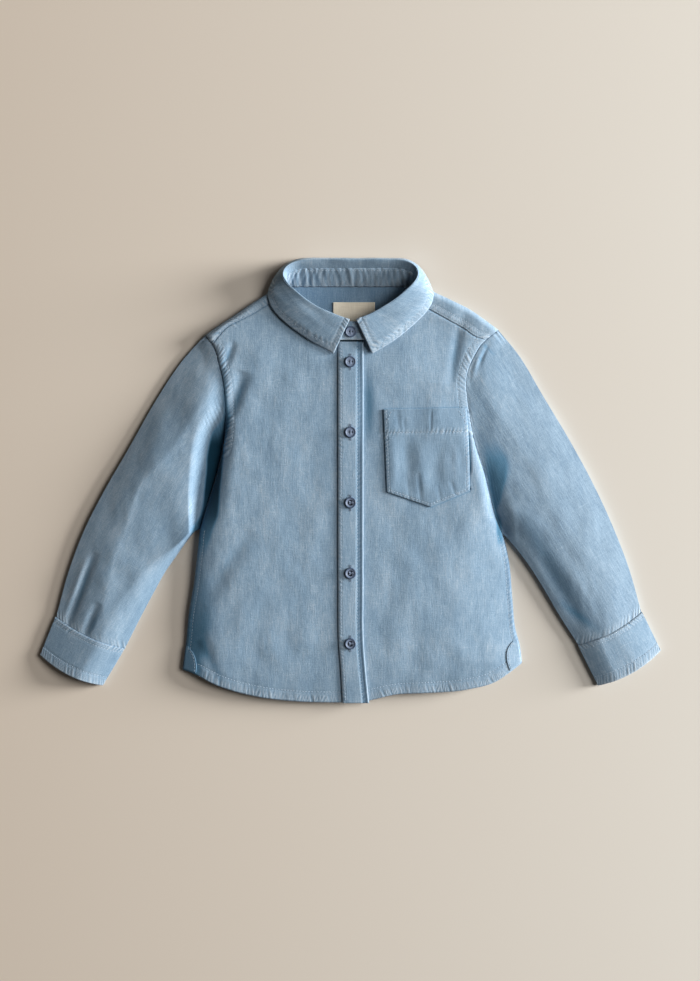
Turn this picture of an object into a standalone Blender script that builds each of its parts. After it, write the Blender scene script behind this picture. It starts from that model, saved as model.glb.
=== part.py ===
"""A small child's chambray shirt, buttoned up and laid flat on its back.

Every cloth piece is the outer face of one cut panel, given its wall by a
Solidify modifier. Sizes and tables are in millimetres and the objects are in
metres. +X is the wearer's left, +Y runs from the hem to the collar, and the
shirt lies on z = 0. Its centre front is x = 0.
"""
from collections import namedtuple

import bmesh
import bpy
import numpy as np

MM = 0.001

# Driving sizes
CLOTH = 1.2            # one layer of chambray with its turned edges
BAND = 1.6             # placket, collar and cuffs: two layers and interlining
SEAM = 0.35            # clearance between neighbouring pieces
SEAM_GAP = 0.5         # the same in plan, where faceted edges run side by side
LIFT = 0.6             # clearance under a piece that lies on a panel
FOLD_Z = 5.0           # height of the shoulder fold's outermost line
YOKE_BACK_Y = 118.0    # back yoke seam
BUTTON_R = 5.6
BUTTON_HOLE_R = 0.8
BUTTON_T = 1.5
BUTTON_DISH = 0.5
BUTTON_RIM = 1.5       # from the outline to the edge of the dish
BUTTON_SIDES = 16
HOLE_SIDES = 6
BUTTON_PITCH = 70.0
TOP_BUTTON_Y = 117.4
BUTTON_X = 0.0
BUTTON_COUNT = 5
NECK_BUTTON = (0.4, 147.0)
HOLE_SPACING = 3.0

CHAMBRAY = (0.26, 0.36, 0.47)
CREAM = (0.60, 0.52, 0.38)
SHELL = (0.30, 0.33, 0.42)

# Side seam and armhole of the laid body, from the hem up. z is the height of
# the front's outer face at the edge, roll the reach of its rise and full how
# quickly it rises: 1 a slope, 2.3 a full round.
Edge = namedtuple("Edge", "y x z roll full")
RIGHT_EDGE = [
    Edge(-189, -167.6, 2.6, 38, 0.85), Edge(-162, -164.0, 2.6, 40, 0.85),
    Edge(-138, -161.8, 3.4, 40, 1.0), Edge(-102, -156.0, 4.8, 50, 1.3),
    Edge(-66, -151.8, 6.4, 44, 1.6), Edge(-49, -150.0, 4.6, 36, 1.7),
    Edge(-38, -147.0, 3.2, 30, 1.6), Edge(-15, -140.0, 2.6, 24, 1.6),
    Edge(10, -132.5, 2.8, 19, 2.0), Edge(35, -127.0, 3.8, 17, 2.3),
    Edge(48, -125.2, 5.6, 15, 2.3), Edge(60, -124.5, 8.8, 14, 2.0),
    Edge(76, -124.8, 11.8, 12, 2.0), Edge(98, -127.0, 12.6, 10, 2.0),
    Edge(113, -130.5, 11.8, 10, 2.0), Edge(132, -136.2, 10.0, 10, 2.0),
    Edge(141.2, -142.6, 8.6, 8, 2.3), Edge(144.5, -144.8, FOLD_Z, 8, 2.3),
]
LEFT_EDGE = [
    Edge(-182.5, 171.2, 2.6, 62, 1.1), Edge(-166, 168.8, 2.6, 80, 1.0),
    Edge(-152, 165.0, 2.6, 90, 1.0), Edge(-120, 161.8, 2.6, 90, 1.0),
    Edge(-80, 158.0, 2.6, 80, 1.1), Edge(-53, 151.5, 2.6, 50, 1.4),
    Edge(-40, 146.0, 5.2, 30, 1.6), Edge(-14, 138.5, 9.4, 22, 1.8),
    Edge(9, 132.5, 11.4, 16, 1.8), Edge(25, 126.8, 12.6, 14, 1.8),
    Edge(44, 121.8, 12.8, 20, 1.5), Edge(61, 118.8, 13.0, 32, 1.3),
    Edge(80, 116.0, 12.6, 42, 1.2), Edge(99, 115.0, 12.0, 48, 1.2),
    Edge(111, 117.5, 11.2, 50, 1.2), Edge(126, 124.5, 10.2, 50, 1.2),
    Edge(137, 132.0, 9.2, 44, 1.2), Edge(146.4, 143.6, 7.8, 30, 1.3),
    Edge(149.6, 147.4, FOLD_Z, 20, 1.5),
]
EDGES = {-1: RIGHT_EDGE, 1: LEFT_EDGE}
SIDE_NAMES = {-1: "right", 1: "left"}
UNDERARM_Y = {-1: -49.0, 1: -53.0}
SHOULDER_Y = {-1: 144.5, 1: 149.6}

# Height of the body between its rounded sides
Level = namedtuple("Level", "y z")
BODY_LEVELS = [
    Level(-224, 9.0), Level(-190, 13.4), Level(-150, 15.6), Level(-60, 17.0), Level(40, 16.4),
    Level(110, 14.2), Level(140, 13.0), Level(175, 11.0), Level(200, 10.5),
]

# Curved hem of the fronts
Hem = namedtuple("Hem", "x y")
HEM = [
    Hem(-167.6, -189), Hem(-153.5, -194), Hem(-137.5, -202.6), Hem(-117.5, -210), Hem(-97.5, -215),
    Hem(-50.5, -220.8), Hem(-10, -221.6), Hem(10.5, -221.6), Hem(24, -218.4), Hem(45.5, -213.6),
    Hem(69.5, -212.4), Hem(119.5, -208), Hem(145, -200.6), Hem(159, -191.4), Hem(171.2, -182.5),
]
BACK_HEM_SHORT = 2.5

# Shoulders, from the neck to the armhole: the fold, and the yoke's front seam
Shoulder = namedtuple("Shoulder", "fold_x fold_y seam_x seam_y")
SHOULDERS = {
    -1: [
        Shoulder(-71, 193.5, -72.2, 181), Shoulder(-82.8, 186, -83.5, 174),
        Shoulder(-98.8, 176, -98, 165.3), Shoulder(-118.6, 162.4, -113, 157.7),
        Shoulder(-133.2, 152.8, -124.5, 151), Shoulder(-144.8, 144.5, -138.2, 134.9),
    ],
    1: [
        Shoulder(71, 194.5, 69.4, 174), Shoulder(82.5, 188, 79, 169.5),
        Shoulder(100.3, 179.6, 95, 160.5), Shoulder(119.2, 170, 111.5, 151.5),
        Shoulder(137.2, 157.4, 123, 143.5), Shoulder(147.4, 149.6, 134.6, 139.6),
    ],
}
FOLD_REACH_TOP = 6.0
FOLD_REACH_UNDER = 4.0

# Neckline of the fronts, half an ellipse about the back neck seam
NECK_Y = 193.0
NECK_HALF_WIDTH = 74.3
NECK_DROP = 55.6
BACK_NECK_Y = 192.8
BACK_NECK_X = (-62, -20, 20, 62)

# Sleeves, from the armhole to the cuff seam: outer and inner edge, height of the
# crest and of the edges, and how far in from each edge the rise reaches
Sleeve = namedtuple("Sleeve", """outer_x outer_y inner_x inner_y height side_z
                    outer_roll inner_roll""")
SLEEVES = {
    -1: [
        Sleeve(-144.8, 144.5, -150, -49, 13.6, 4.4, 40, 3),
        Sleeve(-169.6, 116.4, -155.5, -52, 16.6, 4.2, 50, 3),
        Sleeve(-195, 78, -164.5, -63, 17.4, 4.2, 55, 3),
        Sleeve(-222, 30, -174.5, -77, 16.0, 5.4, 36, 3),
        Sleeve(-246.2, -12, -185.5, -93, 15.4, 6.0, 40, 3),
        Sleeve(-266.3, -52, -196.3, -112.5, 15.4, 6.0, 42, 3),
        Sleeve(-281.6, -93, -208.8, -136, 15.2, 5.6, 46, 3),
        Sleeve(-293.6, -137, -225, -168, 14.4, 5.2, 54, 3),
    ],
    1: [
        Sleeve(147.4, 149.6, 151.5, -53, 14, 5.0, 40, 26),
        Sleeve(169.5, 122, 155.5, -57, 14.5, 5.4, 55, 30),
        Sleeve(192.5, 83, 162, -64.5, 15, 6.0, 65, 34),
        Sleeve(216.5, 43, 170.5, -75, 15.4, 6.4, 65, 38),
        Sleeve(240, 0, 181.3, -90, 15, 6.2, 58, 40),
        Sleeve(259.3, -41, 194, -110.5, 14.2, 6.0, 48, 36),
        Sleeve(277, -86, 209.3, -136.5, 13.4, 5.6, 44, 32),
        Sleeve(290.2, -132, 227.3, -164.5, 12.6, 5.2, 40, 30),
    ],
}
# How the outer and the inner side of each tube curves: the power of its slope,
# from 1 for an even ramp, and its fullness, from 1 to a full round
TUBE_SIDES = {-1: ((1.35, 1.0), (2.3, 2.0)), 1: ((1.5, 1.0), (1.5, 1.0))}
CUFF_SEAM_BOW = 4.0      # the cuff seam bows towards the hand
CUFF_END_BOW = 5.0

# How the sleeve rises from the armhole, by its place there: first a low floor,
# the valley of the armpit, then a climb to its full height
Rise = namedtuple("Rise", "y floor climb")
RISES = {
    -1: [
        Rise(-49, 3, 4), Rise(-20, 9, 4), Rise(7, 14, 4), Rise(35, 17, 4), Rise(52, 12, 8),
        Rise(70, 3, 16), Rise(85, 0, 18), Rise(110, 0, 16), Rise(144.5, 0, 14),
    ],
    1: [
        Rise(-53, 2, 12), Rise(-30, 2, 17), Rise(0, 2, 17), Rise(30, 1, 20), Rise(60, 0, 26),
        Rise(100, 0, 24), Rise(149.6, 0, 16),
    ],
}

# Cuffs, from the sleeve seam to the open end
Cuff = namedtuple("Cuff", Sleeve._fields)
CUFFS = {
    -1: [Cuff(-294.6, -137.3, -225.4, -168.8, 15.0, 5.4, 54, 3),
         Cuff(-309.5, -174.6, -247, -205, 14.0, 5.4, 46, 3)],
    1: [Cuff(291.2, -132.3, 227.2, -165.6, 12.6, 5.4, 36, 10),
        Cuff(309.5, -170, 247, -205.2, 11.6, 5.4, 30, 8)],
}

# Collar, from the centre back to a front end, for the wearer's left half:
# neck seam, top of the stand, crest of the roll and edge of the fall
Collar = namedtuple("Collar", "seam top roll edge")
COLLAR = [
    Collar((0, 193.6, 1.3), (0, 210.3, 16.5), (0, 218.0, 23.5), (0, 221.9, 3.5)),
    Collar((30, 193.6, 1.3), (30, 210.3, 16.5), (30, 218.0, 23.5), (30, 221.9, 3.5)),
    Collar((52, 193.6, 1.5), (50, 209.6, 17.0), (51, 217.0, 24.0), (53, 221.0, 4.0)),
    Collar((63, 193.2, 3.0), (60, 205.8, 18.0), (63, 211.5, 25.0), (67, 214.0, 6.0)),
    Collar((68.4, 190.0, 6.5), (64, 199.0, 19.0), (66.5, 203.5, 25.5), (76, 202.5, 9.0)),
    Collar((69.0, 184.0, 10.5), (62, 192.0, 19.5), (62.5, 195.5, 25.2), (81, 191.0, 12.0)),
    Collar((67.4, 176.0, 12.4), (55, 185.4, 19.5), (55, 188.0, 24.8), (82.5, 182.0, 13.5)),
    Collar((59.0, 163.8, 13.3), (45, 176.8, 19.0), (44, 179.3, 24.2), (77, 169.0, 15.5)),
    Collar((45.0, 151.6, 13.8), (32, 169.0, 18.2), (31, 171.2, 23.6), (63, 154.5, 16.5)),
    Collar((28.6, 143.6, 14.0), (18, 162.4, 16.8), (17.5, 164.4, 23.2), (42, 138.5, 17.4)),
    Collar((12.0, 139.2, 14.0), (7, 157.6, 15.6), (3.2, 159.0, 23.0), (19, 125.3, 17.6)),
]
COLLAR_BACK_SHIFT = 2.4       # the collar lies a little to the left at the back
COLLAR_FRONT_SHIFT = 2.4      # and at its front ends
STAND_OVERLAP = 2.3           # the upper end of the stand passes over the lower one
STAND_END_X = {-1: 9.0, 1: -13.2}
STAND_END_Y = (139.0, 157.2)  # its foot and its top at the ends
OVERLAP_RISE = {-1: (-28, 12), 1: (45, -30)}    # where it begins to rise, and over what run
FALL_CLEAR = 0.95             # from the stand's top edge to the start of the fall
FALL_LIFT = 1.5               # rise of that start where the stand lies flat
FALL_SWELL = ((0.22, 0.6), (0.6, 1.0))          # the fall swells between roll and edge
FALL_COLUMNS = np.array([0, .13, .25, .34, .46, .62, .8, 1.0])

# Placket: its two edges lean towards the wearer's left at the hem
Placket = namedtuple("Placket", "y left right")
PLACKET = [
    Placket(-222, -9.0, 18.6), Placket(-190, -10.7, 15.4), Placket(-165, -12.6, 13.4),
    Placket(-100, -13.4, 12.9), Placket(0, -13.5, 12.9), Placket(137.4, -13.5, 12.9),
]
FRONT_SPLIT_X = 8.6           # the fronts meet under the placket

# Pocket: top corners, bottom corners and point
POCKET_TOP = ((32.5, 70.0), (115.0, 71.6))
POCKET_BOTTOM = ((35.8, -12.0), (79.2, -27.0), (118.2, -11.0))
POCKET_POINT = 0.52            # where the point comes across the foot
POCKET_SIDE_BELLY = 2.0

# Gussets at the foot of the side seams: inner edge, from the hem up
Gusset = namedtuple("Gusset", "x y")
GUSSETS = {
    -1: [Gusset(-153.6, -192.4), Gusset(-153.0, -184), Gusset(-155.6, -174), Gusset(-161.4, -166)],
    1: [Gusset(158.4, -190), Gusset(155.2, -179), Gusset(156.2, -168.5), Gusset(162.2, -160)],
}
GUSSET_INSET = 1.2

LABEL_X = (-17.5, 24.5)
LABEL_Y = (157.0, 177.5)
LABEL_T = 1.0

# The largest folds and the cuff pleats: a line in plan, its half width, and
# its height, which is negative in a trough
Fold = namedtuple("Fold", "x0 y0 x1 y1 width rise")
FOLDS = [
    Fold(-106, 108, -121, 62, 7.0, -3.0),        # right chest, beside the armhole
    Fold(-116, 138, -125, 112, 4.0, -1.6),
    Fold(109, 156, 99, 88, 5.0, -1.8),           # left chest, beside the armhole
    Fold(98, 158, 92, 96, 24.0, -2.2),
    Fold(21, 116, 21, 30, 5.0, -2.2),            # beside the placket
    Fold(-118, -52, -128, -124, 11.0, -0.9),     # right side, low
    Fold(-148, -158, -130, -206, 6.0, -0.7),
    Fold(150, -28, 176, -70, 8.0, -1.0),         # left underarm, on the sleeve
    Fold(126, 12, 138, -44, 6.0, 1.1),           # left front, along the underarm
    Fold(-150, 88, -151, -6, 9.0, 0.6),          # right sleeve head
    Fold(-262, -92, -285, -146, 4.2, -2.6),      # first cuff pleat
    Fold(-269, -96, -291, -144, 4.0, 1.2),
    Fold(-251, -122, -267, -160, 4.0, -1.8),     # second cuff pleat
    Fold(187, -74, 231, -150, 9.0, -2.6),        # left sleeve above the cuff
    Fold(194, -30, 222, -96, 10.0, -1.0),
    Fold(172, -66, 219, -150, 4.0, 2.0),
]

SUPER = 2.3                   # power of the rounded sides
EDGE_ROUND = 2.0              # reach of the small round at the very edge
EDGE_SHARE = 0.28             # and its share of the whole rise


# ---- numbers from the tables -------------------------------------------------

def spline(knots, values, at):
    """Smooth curve through a table: its values at the knots, read at `at`."""
    knots, values = np.asarray(knots, float), np.asarray(values, float)
    slopes = np.gradient(values, knots, axis=0)
    at = np.clip(np.asarray(at, float), knots[0], knots[-1])
    i = np.clip(np.searchsorted(knots, at, side="right") - 1, 0, len(knots) - 2)
    step = knots[i + 1] - knots[i]
    t = (at - knots[i]) / step
    if values.ndim > 1:
        step, t = step[..., None], t[..., None]
    start = (2 * t**3 - 3 * t**2 + 1) * values[i] + (t**3 - 2 * t**2 + t) * step * slopes[i]
    end = (3 * t**2 - 2 * t**3) * values[i + 1] + (t**3 - t**2) * step * slopes[i + 1]
    return start + end


def column(rows, knot, name, at):
    """One named column of a table, read against another."""
    return spline([getattr(r, knot) for r in rows], [getattr(r, name) for r in rows], at)


def along(rows, at):
    """A table's rows, read by station from 0 (first row) to 1 (last row)."""
    return spline(np.linspace(0, 1, len(rows)), [np.ravel(r) for r in rows], at)


def ease(t):
    """Smooth step from 0 to 1."""
    t = np.clip(t, 0, 1)
    return t * t * (3 - 2 * t)


def mix(a, b, t):
    """Straight blend of two points or numbers."""
    return a + (b - a) * t


def rolled(reach, power, full):
    """Rise of a rounded side, from 0 at its edge to 1 where it levels off."""
    return np.clip(1 - (1 - np.clip(reach, 0, 1)) ** power, 0, 1) ** (1 / full)


def folds(x, y):
    """Rise and fall of the cloth at its folds."""
    rise = np.zeros(np.broadcast(x, y).shape)
    for f in FOLDS:
        run = np.hypot(f.x1 - f.x0, f.y1 - f.y0)
        ux, uy = (f.x1 - f.x0) / run, (f.y1 - f.y0) / run
        t = ((x - f.x0) * ux + (y - f.y0) * uy) / run
        away = (x - f.x0) * uy - (y - f.y0) * ux
        fade = np.clip(4 * t * (1 - t), 0, 1) ** 0.7
        rise = rise + f.rise * fade * np.exp(-(away / f.width) ** 2)
    return rise


def top(x, y):
    """Height of the fronts' outer face."""
    x, y = np.asarray(x, float), np.asarray(y, float)
    level = column(BODY_LEVELS, "y", "z", y)
    z = level + folds(x, y)
    for side, rows in EDGES.items():
        inside = side * (column(rows, "y", "x", y) - x)
        slow = rolled(inside / column(rows, "y", "roll", y), SUPER, column(rows, "y", "full", y))
        rise = mix(slow, rolled(inside / EDGE_ROUND, SUPER, SUPER), EDGE_SHARE)
        z = mix(column(rows, "y", "z", y), z, rise)
    return z


def lay(points, rise=0.0):
    """Plan points laid on the fronts' outer face, moved out from it by `rise`."""
    x, y = np.moveaxis(np.asarray(points, float)[..., :2], -1, 0)
    out = np.stack([top(x - 1, y) - top(x + 1, y), top(x, y - 1) - top(x, y + 1),
                    np.full(x.shape, 2.0)], axis=-1)
    out /= np.linalg.norm(out, axis=-1, keepdims=True)
    return np.stack([x, y, top(x, y)], axis=-1) + out * rise


def shift(line, amount):
    """A line in plan, moved sideways to the left of its run."""
    run = np.gradient(line, axis=0)
    run /= np.linalg.norm(run, axis=-1, keepdims=True)
    return line + amount * np.stack([-run[:, 1], run[:, 0]], axis=-1)


# ---- meshes ------------------------------------------------------------------

def material(name, colour, roughness):
    """Plain Principled material in the piece's colour."""
    made = bpy.data.materials.new(name)
    made.use_nodes = True
    shader = made.node_tree.nodes["Principled BSDF"]
    shader.inputs["Base Color"].default_value = (*colour, 1.0)
    shader.inputs["Roughness"].default_value = roughness
    shader.inputs["Metallic"].default_value = 0.0
    return made


def cloth_object(name, bm, wall, colour, centred=False):
    """Object from an open surface, with its wall on the inner side."""
    mesh = bpy.data.meshes.new(name)
    bm.to_mesh(mesh)
    bm.free()
    mesh.shade_smooth()
    mesh.materials.append(material(name, colour, 0.9))
    made = bpy.data.objects.new(name, mesh)
    bpy.context.scene.collection.objects.link(made)
    solid = made.modifiers.new("wall", "SOLIDIFY")
    solid.thickness = wall * MM
    solid.offset = 0.0 if centred else -1.0
    solid.use_even_offset = True
    return made


def add_grid(bm, points, closed=False, flip=False):
    """Quads over a grid of points (rows x columns), closed along the columns."""
    rows, cols = points.shape[:2]
    verts = [[bm.verts.new(points[r, c] * MM) for c in range(cols)] for r in range(rows)]
    for r in range(rows - 1):
        for c in range(cols if closed else cols - 1):
            d = (c + 1) % cols
            quad = [verts[r][c], verts[r][d], verts[r + 1][d], verts[r + 1][c]]
            bm.faces.new(quad[::-1] if flip else quad)
    return verts


def grid_object(name, points, wall, colour=CHAMBRAY, closed=False, flip=False, centred=False):
    """Cloth object from one grid of points."""
    bm = bmesh.new()
    add_grid(bm, points, closed, flip)
    return cloth_object(name, bm, wall, colour, centred)


# ---- body --------------------------------------------------------------------

RING = 14                                             # spans over the top of a sleeve
ARC = 0.5 - 0.5 * np.cos(np.linspace(0, np.pi, RING + 1))
YOKE_SPAN = 2                                         # ring point where the yoke seam ends
SIDE_ROWS = 7
ACROSS = np.array([0, .02, .055, .1, .15, .21, .28, .36, .44, .58, .74, .88, 1.0])
NECK_COLUMN = 8                                       # column of the fronts at the neck point


def armhole(side):
    """Points of the armhole in plan, from the shoulder to the underarm."""
    y = mix(SHOULDER_Y[side], UNDERARM_Y[side], ARC)
    return np.stack([column(EDGES[side], "y", "x", y), y], axis=-1)


def arm_x(side, y):
    """Armhole at a height, along the straight spans between its points."""
    line = armhole(side)[::-1]
    return float(np.interp(y, line[:, 1], line[:, 0]))


def side_line(side):
    """Front's outer edge from the hem corner to the yoke seam, in plan."""
    low = np.linspace(EDGES[side][0].y, UNDERARM_Y[side], SIDE_ROWS + 1)[:-1]
    low = np.stack([column(EDGES[side], "y", "x", low), low], axis=-1)
    return np.concatenate([low, armhole(side)[YOKE_SPAN:][::-1]])


def neckline(side, t):
    """Front neckline from the neck point (0) to under the placket (1), in plan."""
    start = np.arccos(abs(SHOULDERS[side][0].seam_x) / NECK_HALF_WIDTH)
    end = np.arccos(side * FRONT_SPLIT_X / NECK_HALF_WIDTH)
    angle = mix(start, end, t)
    x = side * NECK_HALF_WIDTH * np.cos(angle)
    return np.stack([x, NECK_Y - NECK_DROP * np.sin(angle)], axis=-1)


def yoke_seam(side, t):
    """Yoke's front seam from the armhole (0) to the neck (1), in plan."""
    return along(SHOULDERS[side], 1 - t)[..., 2:]


def front_plan(side, split_x):
    """Grid of a front in plan: rows from the hem up, columns from the side in."""
    edge = side_line(side)
    v = (edge[:, 1] - edge[0, 1]) / (edge[-1, 1] - edge[0, 1])
    neck_u = ACROSS[NECK_COLUMN]
    seam = yoke_seam(side, ACROSS[:NECK_COLUMN + 1] / neck_u)
    neck = neckline(side, (ACROSS[NECK_COLUMN + 1:] - neck_u) / (1 - neck_u))
    upper = np.concatenate([shift(seam, side * SEAM_GAP), neck - (0, SEAM_GAP)])
    upper[-1, 0] = split_x
    hem_x = mix(edge[0, 0], split_x, ACROSS)
    lower = np.stack([hem_x, column(HEM, "x", "y", hem_x)], axis=-1)
    lower[0] = edge[0]
    edge = edge.copy()
    edge[-1] = upper[0]
    centre = np.stack([np.full(len(v), split_x), mix(lower[-1, 1], upper[-1, 1], v)], axis=-1)
    u, v = ACROSS[None, :, None], v[:, None, None]
    sides = mix(edge[:, None], centre[:, None], u)
    ends = mix(lower[None], upper[None], v)
    corners = mix(mix(lower[0], lower[-1], u), mix(upper[0], upper[-1], u), v)
    return sides + ends - corners


def fronts():
    """Both fronts, meeting under the placket."""
    right = lay(front_plan(-1, FRONT_SPLIT_X))
    left = lay(front_plan(1, FRONT_SPLIT_X + SEAM))
    grid_object("front_right", right, CLOTH)
    grid_object("front_left", left, CLOTH, flip=True)


def back():
    """Back panel, flat on the surface, up to the yoke seam."""
    outline = []
    for side in (-1, 1):
        line = side_line(side)
        low = line[:SIDE_ROWS]
        low[0, 1] += BACK_HEM_SHORT
        arm = armhole(side)
        arm = arm[arm[:, 1] < YOKE_BACK_Y - SEAM][::-1]
        y = YOKE_BACK_Y - SEAM
        half = np.concatenate([low, arm, [[arm_x(side, y), y]]])
        outline.append(half)
    hem_x = np.linspace(HEM[0].x, HEM[-1].x, 25)
    hem = np.stack([hem_x, column(HEM, "x", "y", hem_x) + BACK_HEM_SHORT], axis=-1)
    loop = np.concatenate([hem[1:-1], outline[1], outline[0][::-1]])
    bm = bmesh.new()
    verts = [bm.verts.new((x * MM, y * MM, 0)) for x, y in loop]
    bm.faces.new(verts[::-1])
    cloth_object("back", bm, CLOTH, CHAMBRAY)


def shoulder_wrap(side):
    """Yoke over one shoulder: rows from the armhole to the neck, each from the
    front seam, over the fold, to the underside."""
    t = ACROSS[:NECK_COLUMN + 1] / ACROSS[NECK_COLUMN]
    rows = along(SHOULDERS[side], 1 - t)
    out = []
    for fold_x, fold_y, seam_x, seam_y in rows:
        fold, seam = np.array([fold_x, fold_y]), np.array([seam_x, seam_y])
        inward = (seam - fold) / np.linalg.norm(seam - fold)
        seam_z = float(top(seam_x, seam_y))
        line = [(*seam, seam_z), (*mix(seam, fold + inward * FOLD_REACH_TOP, 0.5), seam_z)]
        for angle in np.radians([90, 60, 30, 0]):
            spot = fold + inward * FOLD_REACH_TOP * (1 - np.cos(angle))
            line.append((*spot, FOLD_Z + (seam_z - FOLD_Z) * np.sin(angle)))
        for angle in np.radians([45, 90]):
            spot = fold + inward * FOLD_REACH_UNDER * (1 - np.cos(angle))
            line.append((*spot, FOLD_Z * (1 - np.sin(angle))))
        out.append(line)
    return np.array(out)


def yoke():
    """Back yoke, flat under the body and folded over both shoulders."""
    bm = bmesh.new()
    loop = []
    for side in (-1, 1):
        wrap = shoulder_wrap(side)
        verts = add_grid(bm, wrap, flip=side < 0)
        arm = armhole(side)[YOKE_SPAN:]
        arm = arm[arm[:, 1] > YOKE_BACK_Y]
        low = [bm.verts.new((x * MM, y * MM, 0)) for x, y in arm[::-1]]
        corner = bm.verts.new((arm_x(side, YOKE_BACK_Y) * MM, YOKE_BACK_Y * MM, 0))
        half = [corner, *low, *(row[-1] for row in verts)]
        loop.append(half)
    neck = [bm.verts.new((x * MM, BACK_NECK_Y * MM, 0)) for x in BACK_NECK_X]
    bm.faces.new([*loop[0], *neck, *loop[1][::-1]])
    cloth_object("yoke", bm, CLOTH, CHAMBRAY)


# ---- sleeves and cuffs -------------------------------------------------------

def tube_ring(side, row, bow):
    """One flattened ring: over the top from the outer to the inner edge, then
    back along the flat underside."""
    outer, inner = np.array(row[:2]), np.array(row[2:4])
    height, side_z, outer_roll, inner_roll = row[4:8]
    across = inner - outer
    down = np.array([across[1], -across[0]]) / np.linalg.norm(across)
    down = down if down[1] < 0 else -down
    plan = mix(outer, inner, ARC[:, None]) + down * bow * (4 * ARC * (1 - ARC))[:, None]
    width = np.linalg.norm(across)
    outer_side, inner_side = TUBE_SIDES[side]
    crest = (rolled(ARC * width / outer_roll, *outer_side)
             * rolled((1 - ARC) * width / inner_roll, *inner_side))
    crown = side_z + (height - side_z) * crest
    over = np.concatenate([plan, crown[:, None]], axis=-1)
    under = np.concatenate([plan, np.zeros((RING + 1, 1))], axis=-1)[-2:0:-1]
    return over, under


SLEEVE_RINGS = np.array([0, .03, .07, .11, .15, .2, .27, .37, .5, .64, .76, .86, .93, 1.0])
HEAD_REACH = 0.36          # how far down the sleeve the armhole's curve is felt


def from_armhole(side, points):
    """Distance in plan from the armhole, and how high up it the nearest point is."""
    y = np.linspace(UNDERARM_Y[side], SHOULDER_Y[side], 80)
    line = np.stack([column(EDGES[side], "y", "x", y), y], axis=-1)
    away = np.linalg.norm(points[..., None, :2] - line, axis=-1)
    return away.min(axis=-1), y[away.argmin(axis=-1)]


def arm_rise(side, arm_y):
    """Height of the armhole, and how far the sleeve stays low and then climbs there."""
    return (column(EDGES[side], "y", "z", arm_y), column(RISES[side], "y", "floor", arm_y),
            column(RISES[side], "y", "climb", arm_y))


def sleeve(side):
    """One sleeve: a tube from the armhole to the cuff seam."""
    rings = []
    arm = armhole(side)
    straight = mix(arm[0], arm[-1], ARC[:, None])
    curve = shift(arm, side * SEAM_GAP) - straight
    for t in SLEEVE_RINGS:
        row = along(SLEEVES[side], t)
        over, under = tube_ring(side, row, CUFF_SEAM_BOW * ease((t - 0.6) / 0.4))
        head = (1 - ease(t / HEAD_REACH)) * curve
        over[:, :2] += head
        under[:, :2] += head[-2:0:-1]
        away, arm_y = from_armhole(side, over)
        arm_z, floor, climb = arm_rise(side, arm_y)
        over[:, 2] = mix(arm_z, over[:, 2], ease((away - floor) / climb))
        side_fade = np.sqrt(np.sin(np.linspace(0, np.pi, RING + 1)))
        over[:, 2] += folds(over[:, 0], over[:, 1]) * side_fade * ease(t / SLEEVE_RINGS[1])
        rings.append(np.concatenate([over, under]))
    grid_object(f"sleeve_{SIDE_NAMES[side]}", np.array(rings), CLOTH,
                closed=True, flip=side < 0)


def cuff(side):
    """One cuff: a short, firm tube."""
    rings = []
    for t in (0, 0.3, 0.7, 1.0):
        row = mix(np.array(CUFFS[side][0]), np.array(CUFFS[side][1]), t)
        over, under = tube_ring(side, row, mix(CUFF_SEAM_BOW, CUFF_END_BOW, t))
        rings.append(np.concatenate([over, under]))
    grid_object(f"cuff_{SIDE_NAMES[side]}", np.array(rings), BAND,
                closed=True, flip=side < 0)


# ---- collar ------------------------------------------------------------------

STATIONS = 13


def collar_rows(side, names):
    """Stations of one half of the collar, from the centre back to the front."""
    t = np.linspace(0, 1, STATIONS)
    picked = [np.concatenate([getattr(row, name) for name in names]) for row in COLLAR]
    rows = along(picked, t).reshape(STATIONS, len(names), 3)
    rows[..., 0] *= side
    rows[..., 0] += COLLAR_FRONT_SHIFT * ease((t - 0.75) / 0.25)[:, None]
    rows[..., 0] += COLLAR_BACK_SHIFT * (1 - ease(t / 0.45))[:, None]
    return rows


def stand_lift(points, side=1):
    """Rise of the collar in front, where one end of the stand passes over the other."""
    first_x, run = OVERLAP_RISE[side]
    in_front = points[..., 1] < BACK_NECK_Y - 10
    return STAND_OVERLAP * ease((points[..., 0] - first_x) / run) * in_front


def collar_stand():
    """Band round the neck; its left end passes over its right end in front."""
    halves = {}
    for side in (-1, 1):
        rows = collar_rows(side, ("seam", "top"))
        if side > 0:
            rows[..., 2] += stand_lift(rows)
        end = rows[-1].copy()
        end[:, 0] = STAND_END_X[side]
        end[:, 1] = STAND_END_Y
        middle = mix(rows[-1], end, 0.5)
        halves[side] = np.concatenate([rows, [middle, end]])
    band = np.concatenate([halves[-1][::-1], halves[1][1:]])
    lines = np.stack([mix(band[:, 0], band[:, 1], t) for t in (0, 0.5, 1.0)])
    grid_object("collar_stand", lines, BAND, flip=True, centred=True)


def fall_section(seam, above, roll, edge):
    """Collar fall across: up from the stand, over the roll and out to the edge."""
    rise = (above - seam) / np.linalg.norm(above - seam)
    start = above + rise * FALL_CLEAR + (0, 0, FALL_LIFT * (1 - rise[2]))
    swell = [mix(roll, edge, t) + (0, 0, z) for t, z in FALL_SWELL]
    return along([start, roll, *swell, edge], FALL_COLUMNS)


def collar_fall():
    """Pointed collar, turned down over the stand."""
    halves = []
    for side in (-1, 1):
        rows = collar_rows(side, ("seam", "top", "roll", "edge"))
        rows[:, 1, 2] += stand_lift(rows[:, 1], side)
        halves.append([fall_section(*row) for row in rows])
    band = np.array(halves[0][::-1] + halves[1][1:])
    grid_object("collar_fall", band, BAND, flip=True)


# ---- what lies on the panels -------------------------------------------------

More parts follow.
